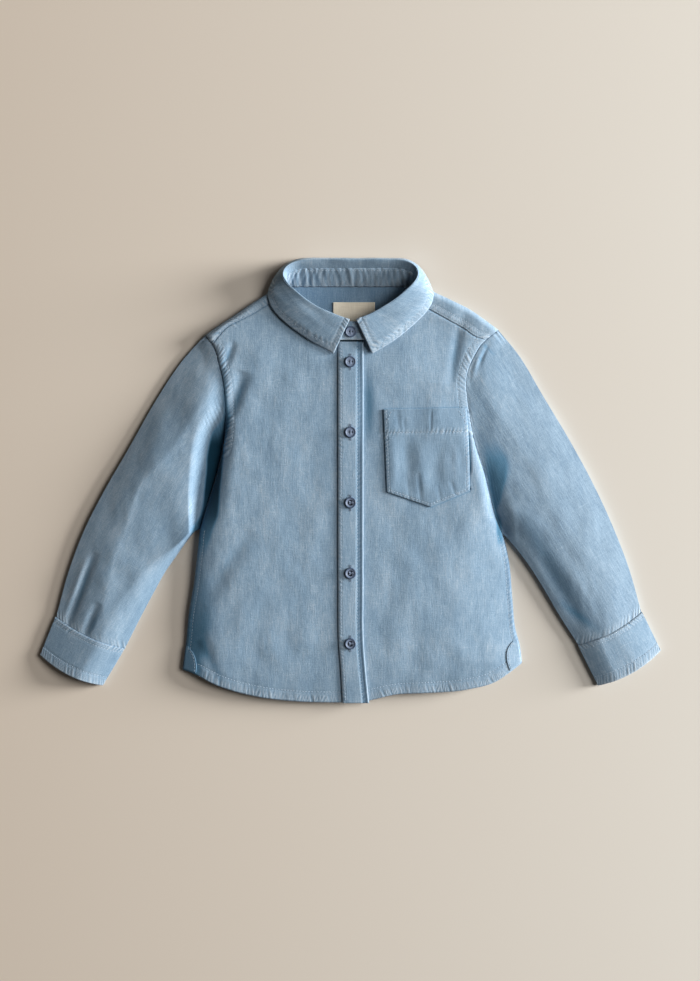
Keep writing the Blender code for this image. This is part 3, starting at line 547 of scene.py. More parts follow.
def sew(outer, cloth, line, sign=1, stitch=2.2, gap=0.8, width=0.52):
    """A row of stitches along a line in a panel's cloth coordinates."""
    line = np.asarray(line, float)
    run = run_of(line)
    count = max(int(run[-1] / (stitch + gap)), 1)
    at = (np.arange(count) + 0.5) * run[-1] / count
    ends = [join(*(np.interp(at + k * stitch / 2, run, line[:, i]) for i in (0, 1)))
            for k in (-1, 1)]
    (a, out_a), (b, out_b) = (place(outer, cloth, e) for e in ends)
    threads.append((a, b, unit(sign * (out_a + out_b) / 2), width))


# ---- meshes ------------------------------------------------------------------

def quads(index):
    """Faces over a grid of point numbers."""
    return join(index[:-1, :-1], index[:-1, 1:], index[1:, 1:], index[1:, :-1]).reshape(-1, 4)


def add_object(name, data):
    """Object in the scene from its mesh, lamp or camera."""
    made = bpy.data.objects.new(name, data)
    bpy.context.scene.collection.objects.link(made)
    return made


def make_object(name, points, faces, material, **layers):
    """Object from points in mm, with point layers of 1 or 3 numbers."""
    mesh = bpy.data.meshes.new(name)
    mesh.from_pydata(np.asarray(points) * MM, [], faces)
    mesh.update()
    mesh.shade_smooth()
    for layer, values in layers.items():
        values = np.asarray(values, np.float32)
        wide = values.ndim > 1
        made = mesh.attributes.new(layer, "FLOAT_VECTOR" if wide else "FLOAT", "POINT")
        made.data.foreach_set("vector" if wide else "value", values.ravel())
    mesh.materials.append(material)
    return add_object(name, mesh)


def normals(grid, closed=False):
    """Unit normals of a grid, out of its columns-by-rows side."""
    across = np.gradient(grid, axis=1)
    if closed:
        padded = np.concatenate([grid[:, -1:], closed_round(grid)], axis=1)
        across = np.gradient(padded, axis=1)[:, 1:-1]
    return unit(np.cross(across, np.gradient(grid, axis=0)))


def outward(ring, sign, n):
    """Normals of a tube, level at the edges of its top, whose columns are the first n."""
    base = normals(ring, closed=True) * sign
    base[:, :n, 2] = np.maximum(base[:, :n, 2], 0)
    return unit(base)


def tuck(face, row, beside, reach, drop):
    """Carries a panel's outermost row on, under its neighbour, and down."""
    face[row, ..., :2] += unit(face[row, ..., :2] - face[beside, ..., :2]) * reach
    face[row, ..., 2] -= drop


pieces = {}


def shell(name, outer, inner, relief, closed=False, flip=False, tone=0.0, material=None,
          grain=None):
    """A panel: its outer face, its inner face and the edge between them."""
    index = np.arange(outer[..., 0].size).reshape(outer.shape[:2])
    far = index + index.size
    if closed:
        index, far = closed_round(index), closed_round(far)
    rims = [(index[0], far[0]), (far[-1], index[-1])]
    if not closed:
        rims += [(far[:, 0], index[:, 0]), (index[:, -1], far[:, -1])]
    faces = [quads(index), quads(far)[:, ::-1]]
    faces += [quads(np.stack([far_rim, near_rim])) for near_rim, far_rim in rims]
    faces = np.concatenate(faces)[:, ::-1 if flip else 1]
    seed = sum(map(ord, name)) * 0.37 % 7
    weave = at_height((relief.cloth if grain is None else grain) * MM, seed)
    layers = {"weave": weave.reshape(-1, 3), "wear": np.clip(relief.wear, 0, 1).ravel(),
              "deep": np.clip(relief.deep, 0, 1).ravel(), "tone": (relief.tone + tone).ravel()}
    made = make_object(f"{name}_cloth", np.concatenate([outer.reshape(-1, 3), inner.reshape(-1, 3)]),
                       faces, material or CHAMBRAY,
                       **{key: np.concatenate([values] * 2) for key, values in layers.items()})
    pieces[name] = made


# ---- materials ---------------------------------------------------------------

class Graph:
    """A material and its nodes."""

    def __init__(self, name):
        self.material = bpy.data.materials.new(name)
        self.material.use_nodes = True
        self.tree = self.material.node_tree
        self.shader = self.tree.nodes["Principled BSDF"]

    def put(self, socket, value):
        """A value, or a link from another node's socket."""
        if isinstance(value, bpy.types.NodeSocket):
            self.tree.links.new(value, socket)
        else:
            socket.default_value = value

    def add(self, kind, inputs=(), out=0, **settings):
        """A node with its settings and inputs; gives the named output."""
        node = self.tree.nodes.new("ShaderNode" + kind)
        for key, value in settings.items():
            setattr(node, key, value)
        for key, value in dict(inputs).items():
            self.put(node.inputs[key], value)
        return node.outputs[out]

    def layer(self, name, out="Vector"):
        """A point layer of the mesh."""
        return self.add("Attribute", out=out, attribute_name=name)

    def noise(self, vector, scale, detail=2.0, roughness=0.5):
        """Noise over a vector that is stretched by three scales first."""
        spread = self.add("VectorMath", {0: vector, 1: scale}, operation="MULTIPLY")
        return self.add("TexNoise", {"Vector": spread, "Scale": 1.0, "Detail": detail,
                                     "Roughness": roughness})

    def math(self, operation, a, b):
        """Two numbers put together."""
        return self.add("Math", {0: a, 1: b}, operation=operation)

    def sum(self, *terms):
        """Weighted sum of (socket, weight) pairs."""
        total = None
        for socket, weight in terms:
            term = self.math("MULTIPLY", socket, weight)
            total = term if total is None else self.math("ADD", total, term)
        return total

    def ramp(self, value, *stops):
        """Colour ramp through (place, colour) stops."""
        node = self.tree.nodes.new("ShaderNodeValToRGB")
        marks = node.color_ramp.elements
        while len(marks) < len(stops):
            marks.new(0.5)
        for mark, (place_at, colour) in zip(marks, stops):
            mark.position = place_at
            mark.color = (*colour, 1.0)
        self.put(node.inputs["Fac"], value)
        return node.outputs["Color"]

    def blend(self, amount, a, b):
        """Mix of two colours."""
        node = self.tree.nodes.new("ShaderNodeMix")
        node.data_type = "RGBA"
        for key, value in (("Factor_Float", amount), ("A_Color", a), ("B_Color", b)):
            socket = next(s for s in node.inputs if s.identifier == key)
            self.put(socket, (*value, 1.0) if isinstance(value, tuple) else value)
        return next(s for s in node.outputs if s.identifier == "Result_Color")

    def relief(self, height, distance):
        """Bump from a height."""
        bump = self.add("Bump", {"Height": height, "Distance": distance, "Strength": 1.0})
        self.put(self.shader.inputs["Normal"], bump)

    def finish(self, colour, roughness, **constants):
        """Colour, roughness and constant inputs of the shader."""
        self.put(self.shader.inputs["Base Color"], colour)
        self.put(self.shader.inputs["Roughness"], roughness)
        for key, value in constants.items():
            self.shader.inputs[key.replace("_", " ")].default_value = value
        return self.material


def chambray():
    """Blue warp and white weft, with slubs both ways, faded, puckered seams and painted shade."""
    g = Graph("chambray")
    weave = g.layer("weave")
    upright = g.noise(weave, (820, 110, 1), 3, 0.6)
    fine_upright = g.noise(weave, (1500, 480, 1), 2, 0.6)
    level = g.noise(weave, (220, 950, 1), 3, 0.6)
    bands = g.noise(weave, (110, 26, 1), 2)
    patches = g.noise(weave, (36, 26, 1), 3)
    grain = g.noise(weave, (1900, 1900, 1), 1)
    weft_slub, warp_slub = (
        g.ramp(g.noise(weave, scale, 1), (0.62, (0, 0, 0)), (0.78, (1, 1, 1)))
        for scale in ((60, 760, 1), (700, 60, 1)))
    mixed = g.sum((upright, 0.24), (fine_upright, 0.18), (level, 0.10), (bands, 0.14),
                  (patches, 0.17), (grain, 0.19), (weft_slub, 0.05), (warp_slub, 0.05),
                  (g.layer("tone", "Fac"), 1.0))
    colour = g.ramp(mixed, (0.34, (0.120, 0.205, 0.300)), (0.51, (0.220, 0.325, 0.432)),
                    (0.70, (0.410, 0.505, 0.590)))
    wear = g.layer("wear", "Fac")
    flecks = g.sum((wear, 0.9), (upright, 0.16), (level, 0.10))
    colour = g.blend(g.ramp(flecks, (0.15, (0, 0, 0)), (0.95, (0.62, 0.62, 0.62))),
                     colour, (0.53, 0.60, 0.655))
    # painted shade: where that layer is high, the colour turns to a dark navy
    deep = g.layer("deep", "Fac")
    painted_shade_colour = g.ramp(deep, (0.0, (0.11, 0.21, 0.33)), (0.5, (0.058, 0.190, 0.315)),
                  (1.0, (0.001, 0.032, 0.060)))
    held = g.ramp(deep, (0.0, (0, 0, 0)), (0.55, (0.8, 0.8, 0.8)), (1.0, (1, 1, 1)))
    colour = g.blend(held, colour, painted_shade_colour)
    g.relief(g.sum((upright, 0.5), (level, 0.4), (grain, 0.35)), 0.00032)
    return g.finish(colour, 0.92, Sheen_Weight=0.12, Sheen_Roughness=0.5,
                    Sheen_Tint=(0.95, 0.97, 1.0, 1.0), Specular_IOR_Level=0.25)


def cream_tape():
    """Plain cream woven tape."""
    g = Graph("cream_tape")
    weave = g.layer("weave")
    level = g.noise(weave, (60, 2600, 1), 2)
    upright = g.noise(weave, (1400, 90, 1), 2)
    value = g.sum((level, 0.5), (upright, 0.5))
    colour = g.ramp(value, (0.3, (0.76, 0.66, 0.51)), (0.7, (0.93, 0.84, 0.68)))
    g.relief(value, 0.0003)
    return g.finish(colour, 0.85, Sheen_Weight=0.1)


def thread(name, dark, pale):
    """Sewing thread, twisted from a darker and a paler blue."""
    g = Graph(name)
    twist = g.noise(g.add("TexCoord", out="Object"), (1500, 1500, 1500), 2)
    colour = g.ramp(twist, (0.3, dark), (0.7, pale))
    g.relief(twist, 0.0001)
    return g.finish(colour, 0.7, Sheen_Weight=0.15)


def shell_button():
    """Grey-blue shell-like plastic, darker at the rim, with painted shade at the bottoms of its
    holes.
    """
    g = Graph("shell_button")
    cloud = g.noise(g.add("TexCoord", out="Object"), (240, 240, 240), 3)
    value = g.sum((g.layer("wear", "Fac"), 1.0), (cloud, 0.25))
    colour = g.ramp(value, (0.25, (0.185, 0.235, 0.335)), (0.80, (0.150, 0.195, 0.285)),
                    (1.0, (0.055, 0.085, 0.145)))
    g.relief(cloud, 0.0001)
    return g.finish(colour, 0.45, Coat_Weight=0.12, Coat_Roughness=0.35)


CHAMBRAY = chambray()
TAPE = cream_tape()
THREAD = thread("thread", (0.25, 0.34, 0.43), (0.40, 0.49, 0.57))
DARK_THREAD = thread("dark_thread", (0.10, 0.15, 0.23), (0.20, 0.27, 0.36))
SHELL = shell_button()


# ---- body --------------------------------------------------------------------

NECK_U = 0.44              # column of the fronts at the neck point
YOKE_P = 2 / 14            # place along the armhole where the yoke seam ends
SHOULDER_RUN = 75          # length of a front's shoulder seam, and of its neckline
NECK_RUN = 92
TUCK_SHARE = 0.0008        # share of a panel's length that turns in under its neighbour
TUCK_DROP = 1.55
HEM_STITCH = 10.5          # the stitches' distance from the hem, flank and armhole
FLANK_STITCH = 5.0
FELL = {-1: 8.5, 1: 8.0}
FELL_P = {-1: (0.16, 0.56), 1: (0.16, 0.50)}
YOKE_STITCHES = (1.2, 7.0)
YOKE_WEAVE_SEED = 2.2
# painted shade on the inside of the yoke, under the collar
YOKE_INSIDE_SHADE = -0.13
BACK_PITCH = 3.2


def arc(p):
    """Share of the way over a sleeve, closer set at its edges."""
    return 0.5 - 0.5 * np.cos(np.pi * p)


def armhole(side, p):
    """Points of the armhole in plan, from the shoulder to the underarm."""
    return edge_line(side, mix(SHOULDER_Y[side], UNDERARM_Y[side], arc(p)))


def neckline(side, t):
    """Front neckline from the neck point (0) to under the placket (1), in plan."""
    x = mix(side * abs(SHOULDERS[side][0].seam_x), FRONT_SPLIT_X, t)
    return join(x, NECK_Y - NECK_DROP * np.sqrt(1 - (x / NECK_HALF_WIDTH) ** 2))


def front_plan(side, split_x):
    """Grid of a front in plan: rows from the hem up, columns from the side in."""
    low_u, high_u = NECK_U * steps(SHOULDER_RUN), mix(NECK_U, 1, steps(NECK_RUN))
    u, v = np.concatenate([low_u, high_u[1:]]), steps(330)
    v = np.concatenate([v[:-1], [1 - TUCK_SHARE, 1]])
    seam = along(SHOULDERS[side], 1 - low_u / NECK_U)[:, 2:]
    neck = neckline(side, (high_u[1:] - NECK_U) / (1 - NECK_U))
    upper = np.concatenate([shift(seam, side * SEAM_GAP), neck - (0, SEAM_GAP)])
    upper[-1, 0] = split_x
    first, last = EDGES[side][0].y, armhole(side, YOKE_P)[1]
    edge = edge_line(side, mix(first, last, v))
    edge += (upper[0] - edge[-1]) * ease((v[:, None] - 0.93) / 0.07)
    hem_x = mix(edge[0, 0], split_x, u)
    lower = join(hem_x, hem_y(hem_x))
    lower[0] = edge[0]
    centre = join(np.full(len(v), split_x), mix(lower[-1, 1], upper[-1, 1], v))
    u, v = u[None, :, None], v[:, None, None]
    sides = mix(edge[:, None], centre[:, None], u)
    ends = mix(lower[None], upper[None], v)
    corners = mix(mix(lower[0], lower[-1], u), mix(upper[0], upper[-1], u), v)
    return sides + ends - corners


def hem_line(x0, x1, up):
    """The hem's curve between two x, moved up into the cloth."""
    x = np.linspace(x0, x1, 60)
    return shift(join(x, hem_y(x)), up)


# Painted shade at the armpits and down one flank, where the valleys lie in
# shadow: dark colour from x0 to x1, with soft borders
PaintedShade = namedtuple("PaintedShade", "y x0 x1 amount soft")
PAINTED_SHADES = {
    -1: table(PaintedShade, [
        (-195, -180, -148, 0.60, 8), (-160, -180, -143, 0.58, 9), (-140, -180, -136, 0.48, 10),
        (-118, -176, -138, 0.38, 9), (-92, -168, -143, 0.32, 6), (-76, -165, -143, 0.32, 4),
        (-65, -160, -140.5, 0.50, 3), (-50, -158, -136.5, 0.70, 3), (-35, -150, -131.5, 0.90, 2.2),
        (-25, -147.5, -130.5, 0.95, 1.8), (-10, -146, -129.5, 1.0, 1.6),
        (10, -144, -127.5, 1.0, 1.6), (25, -143, -126.5, 1.0, 1.6), (40, -140, -125, 0.94, 1.8),
        (48, -137.5, -122.5, 0.70, 2.2), (60, -128.5, -120, 0.45, 2.2),
        (85, -127, -122.5, 0.25, 1.6), (140, -130, -125, 0.0, 1.6),
    ]),
    1: table(PaintedShade, [
        (-60, 146, 152, 0.5, 2), (-40, 144.5, 150, 0.75, 2), (-30, 142.5, 146.5, 0.6, 2.5),
        (-20, 140.5, 150, 0.66, 3), (-10, 138.5, 152, 0.68, 3.5), (0, 136.5, 155, 0.68, 4),
        (10, 134.8, 157, 0.64, 5), (20, 133, 157, 0.55, 5.5), (30, 131, 152, 0.38, 5),
        (42, 129, 143, 0.1, 4), (50, 128, 140, 0.0, 4),
    ]),
}

# Streaks of the same painted shade, down troughs and creases: rise is how dark
PAINTED_SHADE_STREAKS = table(Fold, [
    (-103.5, 104, -118.5, 62, 3.2, 0.42), (-117.5, 134, -124.5, 117, 2.2, 0.35),
    (-130, 124, -122, 52, 4.5, 0.22), (107.5, 152, 100.5, 93, 3.6, 0.30),
    (18.5, 112, 18.5, 34, 6.0, 0.46), (132, 136, 144.5, 123, 1.2, 0.35),
    (126.5, 124, 133.5, 113, 1.2, 0.30), (-254.5, -72, -279.5, -144, 2.6, 0.42),
    (-249.5, -130, -261.5, -156, 2.2, 0.36), (205, -119, 252, -154, 4.6, 0.36),
    (-151, -158, -134, -188, 5.0, 0.40), (-137, -182, -127, -201, 3.4, 0.35),
    (-102, -56, -141, -108, 6.0, 0.20), (164, -28, 238, -146, 9.0, 0.30),
    (-122, 66, -126, 40, 3.0, 0.25), (137, 141, 125, 108, 1.8, 0.24),
])


def shade(relief, side, plan):
    """Painted shade over the points of a panel, from where they lie in plan."""
    x, y = plan[..., 0], plan[..., 1]
    x0, x1, amount, soft = (column(PAINTED_SHADES[side], name, y) for name in PaintedShade._fields[1:])
    amount = amount * ease((y - PAINTED_SHADES[side][0].y) / 8 + 1) * ease((PAINTED_SHADES[side][-1].y - y) / 8 + 1)
    relief.deep += amount * ease((x - x0) / soft / 2 + 0.5) * ease((x1 - x) / soft / 2 + 0.5)
    if side < 0:
        # painted shade on the lit slope beside the armpit valley
        relief.tone -= 0.10 * amount * bell(x - x0 + 5, 6) * (y > -60)
    relief.deep += folds(x, y, PAINTED_SHADE_STREAKS)


def about_pocket(relief, plan):
    """Painted shade along the pocket's border, and the hollow beside its outer edge, with painted
    shade in it.
    """
    y, (x0, y0) = plan[..., 1], POCKET_TOP[1]
    border = [*POCKET_TOP, (x0 + 2.3, 45), *POCKET_BOTTOM[::-1], POCKET_TOP[0]]
    relief.deep += 0.55 * bell(near(plan, border)[1], 0.9)
    edge = [(x0 + 0.8, y0 - 8), (x0 + 3.2, 45), (x0 + 3.9, POCKET_BOTTOM[2][1] + 6)]
    d = near(plan, edge)[1] + 4 * (1 - ease((52 - y) / 14) * ease((y + 4) / 16))
    relief.deep += 0.8 * bell(d, 1.1)
    relief.groove(d, 0.0, 1.6, 0.9)


def fronts():
    """Both fronts, meeting under the placket."""
    for side, split_x in ((-1, FRONT_SPLIT_X), (1, FRONT_SPLIT_X + SEAM)):
        plan = front_plan(side, split_x)
        relief = Relief(plan)
        span = sorted((EDGES[side][0].x, split_x))
        arm = armhole(side, np.linspace(*FELL_P[side], 40))
        flank = edge_line(side, np.linspace(EDGES[side][0].y, UNDERARM_Y[side], 40))
        relief.seam(hem_line(*span, 0), "hem", HEM_STITCH)
        from_yoke = relief.seam(along(SHOULDERS[side], np.linspace(0, 1, 30))[:, 2:],
                                "shoulder seam")
        relief.seam(arm, "fell", FELL[side], both=True, at=FELL[side] / 2)
        from_flank = relief.seam(flank, "flank", FLANK_STITCH, both=True)
        shade(relief, side, plan)
        # painted shade along the shoulder seam, under the edge of the yoke
        relief.deep += 0.5 * bell(from_yoke, 0.9)
        relief.wear *= 1 - np.clip(relief.deep, 0, 1)
        if side > 0:
            relief.tone -= 0.17 * bell(from_flank, 5.0)
            about_pocket(relief, plan)
        outer, inner = lay(plan, relief.rise), lay(plan, -CLOTH)
        under_yoke = len(steps(SHOULDER_RUN))
        for face in (outer[:, :under_yoke], inner[:, :under_yoke]):
            tuck(face, -1, -2, 1.6, TUCK_DROP)
        shell(f"front_{SIDE_NAMES[side]}", outer, inner, relief, flip=side > 0)
        for line in (hem_line(*span, HEM_STITCH), shift(arm, -side * FELL[side]),
                     shift(flank, side * FLANK_STITCH)):
            sew(outer, plan, line, -side)


def back():
    """Back panel, flat on the surface, up to the yoke seam."""
    u, v = steps(340, BACK_PITCH)[None, :], steps(310, BACK_PITCH)[:, None]
    top_y = YOKE_BACK_Y - SEAM
    left, right = (edge_x(side, mix(EDGES[side][0].y, top_y, v)) for side in (-1, 1))
    low = hem_y(mix(HEM[0].x, HEM[-1].x, u)) + BACK_HEM_SHORT
    plan = join(*np.broadcast_arrays(mix(left, right, u), mix(low, top_y, v)))
    relief = Relief(plan)
    relief.ripples(*near(plan, hem_line(HEM[0].x, HEM[-1].x, 0)), "back hem")
    shell("back", at_height(plan, 0.0), at_height(plan, CLOTH), relief, flip=True)


def shoulder_wrap(rows):
    """Yoke over one shoulder: rows from the armhole to the neck, each from the
    front seam, over the fold, to the underside."""
    out = []
    for fold, seam in rows.reshape(-1, 2, 2):
        inward = unit(seam - fold)
        seam_z = float(top(*seam))
        crest = fold + inward * FOLD_REACH_TOP
        line = [(*mix(seam, crest, t), seam_z) for t in np.linspace(0, 1, 12)[:-1]]
        for angle in np.radians(np.linspace(90, 0, 9)):
            spot = fold + inward * FOLD_REACH_TOP * (1 - np.cos(angle))
            line.append((*spot, FOLD_Z + (seam_z - FOLD_Z) * np.sin(angle)))
        for angle in np.radians(np.linspace(0, 90, 5)[1:]):
            spot = fold + inward * FOLD_REACH_UNDER * (1 - np.cos(angle))
            line.append((*spot, FOLD_Z * (1 - np.sin(angle))))
        out.append(line)
    return np.array(out)


def yoke():
    """Back yoke, flat under the body and folded over both shoulders."""
    points, faces, wear, loops, base = [], [], [], [], 0
    for side in (-1, 1):
        rows = along(SHOULDERS[side], 1 - steps(95))
        wrap = shoulder_wrap(rows)
        around = run_of(np.moveaxis(wrap, 1, 0)).T
        length = np.broadcast_to(run_of(rows[:, :2])[:, None], around.shape)
        relief = Relief(join(length, around))
        relief.ripples(length, around, "yoke seam")
        relief.ripples(around, length, "yoke ends")
        for row in YOKE_STITCHES:
            relief.groove(around, row)
        outer = wrap + side * normals(wrap) * relief.rise[..., None]
        for row in YOKE_STITCHES:
            sew(outer, relief.cloth, [(length[0, 0] + 2, row), (length[-1, 0] - 2, row)], side)
        index = np.arange(around.size).reshape(around.shape) + base
        faces += quads(index)[:, ::side].tolist()
        base += index.size
        arm = armhole(side, np.linspace(YOKE_P, 1, 80))
        corner = (float(edge_x(side, YOKE_BACK_Y)), YOKE_BACK_Y)
        low = np.array([corner, *arm[arm[:, 1] > YOKE_BACK_Y][::-1]])
        points += [outer.reshape(-1, 3), at_height(low, 0.0)]
        wear += [relief.wear.ravel(), np.zeros(len(low))]
        loops.append([*range(base, base + len(low)), *index[:, -1]])
        base += len(low)
    neck = np.array([(x, BACK_NECK_Y + 0.3, 0) for x in BACK_NECK_X])
    points = np.concatenate([*points, neck])
    wear = np.concatenate([*wear, np.zeros(len(neck))])
    faces.append([*loops[0], *range(base, base + len(neck)), *loops[1][::-1]])
    x, y, z = points.T
    weave = join(x * MM, (y + 0.7 * z) * MM, np.full(len(points), YOKE_WEAVE_SEED))
    # painted shade on the inside of the yoke, seen under the collar through the neck
    inside = np.zeros(len(points))
    inside[faces[-1]] = YOKE_INSIDE_SHADE
    made = make_object("yoke_cloth", points, faces, CHAMBRAY, weave=weave,
                       wear=np.clip(wear, 0, 1), tone=inside)
    made.data.polygons[-1].use_smooth = False
    solid = made.modifiers.new("wall", "SOLIDIFY")
    solid.thickness, solid.offset = CLOTH * MM, -1.0
    pieces["yoke"] = made


# ---- sleeves and cuffs -------------------------------------------------------

def tube(side, rows, p, bow):
    """Plan and crown of a flattened tube over its top, from the outer to the
    inner edge, for each row of its table, and its width there."""
    outer, inner = rows[:, None, 0:2], rows[:, None, 2:4]
    height, side_z, outer_roll, inner_roll = (rows[:, k:k + 1] for k in (4, 5, 6, 7))
    across = (inner - outer)[:, 0]
    down = unit(join(across[:, 1], -across[:, 0]))
    down = np.where(down[:, 1:] < 0, down, -down)[:, None]
    a = arc(p)[None, :, None]
    plan = mix(outer, inner, a) + down * bow[:, None, None] * 4 * a * (1 - a)
    width = np.linalg.norm(across, axis=-1, keepdims=True)
    outer_side, inner_side = TUBE_SIDES[side]
    crest = (rolled(arc(p) * width / outer_roll, *outer_side)
             * rolled((1 - arc(p)) * width / inner_roll, *inner_side))
    return plan, side_z + (height - side_z) * crest, width


def close_under(plan, z):
    """The flat underside that closes a tube, carried up to the edges of its top."""
    under, lift = plan[:, ::-1][:, 1:-1], 0.0
    for edge in (slice(-1, None), slice(None, 1)):
        away = np.linalg.norm(under - plan[:, edge], axis=-1)
        lift = lift + z[:, edge] * np.clip(1 - away / UNDER_REACH, 0, 1) ** 2
    return at_height(under, lift)[:, 4:-4:4]


def tube_cloth(plan, z):
    """A closed tube from the plan and the height of its top, and its cloth
    coordinates: round it and down it."""
    ring = np.concatenate([at_height(plan, z), close_under(plan, z)], axis=1)
    round_it = run_of(np.moveaxis(ring, 1, 0)).T
    round_it = round_it - round_it[:, plan.shape[1] // 2][:, None]
    return ring, join(round_it, run_of(ring))


def paint_inner_shade(relief, to_inner):
    """Painted shade down the inner side of the wearer's right sleeve and cuff."""
    relief.tone[:, :to_inner.shape[1]] -= 0.08 * bell(to_inner, 9.0, 4)


def from_armhole(side, points):
    """Distance in plan from the armhole, and how high up it the nearest point is."""
    y = np.linspace(UNDERARM_Y[side], SHOULDER_Y[side], 80)
    away = np.linalg.norm(points[..., None, :2] - edge_line(side, y), axis=-1)
    return away.min(axis=-1), y[away.argmin(axis=-1)]


def sleeve(side):
    """One sleeve: a tube from the armhole to the cuff seam."""
    t, p = steps(300), steps(128)
    t = np.concatenate([[0, TUCK_SHARE], t[1:-1], [1 - 2 * TUCK_SHARE, 1]])
    plan, crown, width = tube(side, along(SLEEVES[side], t), p,
                              CUFF_SEAM_BOW * ease((t - 0.6) / 0.4))
    arm = armhole(side, p)
    straight = mix(arm[0], arm[-1], arc(p)[:, None])
    gap = SEAM_GAP if side < 0 else mix(0.0, SEAM_GAP, ease((arm[:, 1:] - 90) / 35))
    curve = arm + (shift(arm, side) - arm) * gap - straight
    plan = plan + (1 - ease(t / HEAD_REACH))[:, None, None] * curve
    away, arm_y = from_armhole(side, plan)
    floor, climb = (column(RISES[side], name, arm_y) for name in ("floor", "climb"))
    up_it = np.clip((away - floor) / climb, 0, 1)
    early = ease((60 - arm_y) / 40) * (side > 0)
    z = mix(column(EDGES[side], "z", arm_y), crown,
            mix(ease(up_it), 1 - (1 - up_it) ** 2, early))
    x, y = plan[..., 0], plan[..., 1]
    to_outer, to_inner = arc(p) * width, (1 - arc(p)) * width
    calm = ease(np.minimum(to_outer, to_inner) / 18) * ease(t / 0.035)[:, None]
    ring, cloth = tube_cloth(plan, z + (folds(x, y) + uneven(x, y)) * calm)
    relief = Relief(cloth)
    down, up = cloth[..., 1], cloth[-1:, :, 1] - cloth[..., 1]
    relief.ripples(cloth[..., 0], up, "sleeve foot")
    relief.ripples(cloth[..., 0], down, "sleeve head")
    n = len(p)
    # painted shade over the top of the sleeve, at the armpit valley and down its troughs
    over = Relief(plan)
    shade(over, side, plan)
    relief.deep[:, :n], relief.tone[:, :n] = over.deep, over.tone
    if side > 0:
        relief.wear[:, :n] += 0.16 * ease(t / 0.3)[:, None]
        relief.tone[:, :n] -= 0.06 * ease(t / 0.3)[:, None]
    else:
        # paler down the outer side of the sleeve, which lies away from the light: painted light
        relief.tone[:, :n] += 0.06 * bell(to_outer, 34.0)
        # painted shade down the inner side
        paint_inner_shade(relief, to_inner)
    relief.wear *= 1 - relief.deep
    tuck(ring, -1, -2, 2.4, 0.0)
    base = outward(ring, side, n)
    dip = (BAND + 0.3) * (1 - ease(up / 0.45))
    held = ease((column(EDGES[side], "z", arm_y[0, :n]) - 3.4) / 2)
    tuck(ring[:, :n], 0, 1, 1.6 * held[:, None], TUCK_DROP * held)
    outer = ring + base * (relief.rise - dip)[..., None]
    inner = ring - base * (CLOTH + dip[..., None])
    x, y = side * ring[..., 0], ring[..., 1]
    ax, ay = SLEEVE_GRAIN
    shell(f"sleeve_{SIDE_NAMES[side]}", outer, inner, relief, closed=True, flip=side < 0,
          grain=join(ay * x - ax * y, ax * x + ay * y))


def cuff(side):
    """One cuff: a short, firm tube."""
    t, p = steps(42, 1.0), steps(90, 1.0)
    t[0] = CUFF_TUCK
    n = len(p)
    plan, crown, _ = tube(side, mix(*np.array(CUFFS[side])[:, None], t[:, None]), p,
                          mix(CUFF_SEAM_BOW, CUFF_END_BOW, t))
    ring, cloth = tube_cloth(plan, crown)
    relief = Relief(cloth)
    s, down, up = cloth[..., 0], cloth[..., 1], cloth[-1:, :, 1] - cloth[..., 1]
    relief.ripples(s, down, "cuff seam")
    relief.ripples(s, up, "cuff end")
    for row in CUFF_STITCHES:
        relief.groove(down, row)
    relief.groove(up, CUFF_END_STITCH)
    relief.wear += 0.4 * bell(up, 1.6) + 0.08 * bell(down, 1.0)
    if side < 0:
        relief.tone -= 0.16 * bell(down, 1.2)
        # painted shade down the inner side
        paint_inner_shade(relief, (1 - arc(p))[None] * CUFF_WIDTH)
    base = outward(ring, side, n)
    outer = ring + base * relief.rise[..., None]
    shell(f"cuff_{SIDE_NAMES[side]}", outer, ring - base * BAND, relief,
          closed=True, flip=side < 0)
    s0, s1 = s[0, 2], s[0, n - 3]
    for row in (*CUFF_STITCHES, down[-1, n // 2] - CUFF_END_STITCH):
        sew(outer[:, :n], cloth[:, :n], [(s0, row), (s1, row)], side)


# ---- collar ------------------------------------------------------------------

def collar_rows(side, names, t):
    """Stations of one half of the collar, from the centre back to the front."""
    picked = [np.concatenate([getattr(row, name) for name in names]) for row in COLLAR]
    rows = along(picked, t).reshape(len(t), len(names), 3)
    rows[..., 0] *= side
    rows[..., 0] += COLLAR_FRONT_SHIFT * ease((t - 0.75) / 0.25)[:, None]
    rows[..., 0] += COLLAR_BACK_SHIFT * (1 - ease(t / 0.45))[:, None]
    return rows


def stand_lift(points, side=1):
    """Rise of the collar in front, where one end of the stand passes over the other."""
    first_x, run = OVERLAP_RISE[side]
    in_front = points[..., 1] < BACK_NECK_Y - 10
    return STAND_OVERLAP * ease((points[..., 0] - first_x) / run) * in_front


def band_cloth(grid):
    """Cloth coordinates of a collar grid: along it, and across it."""
    s = run_of(grid[:, grid.shape[1] // 2])
    b = run_of(np.moveaxis(grid, 1, 0)).T
    return join(np.broadcast_to((s - s[-1] / 2)[:, None], b.shape), b)


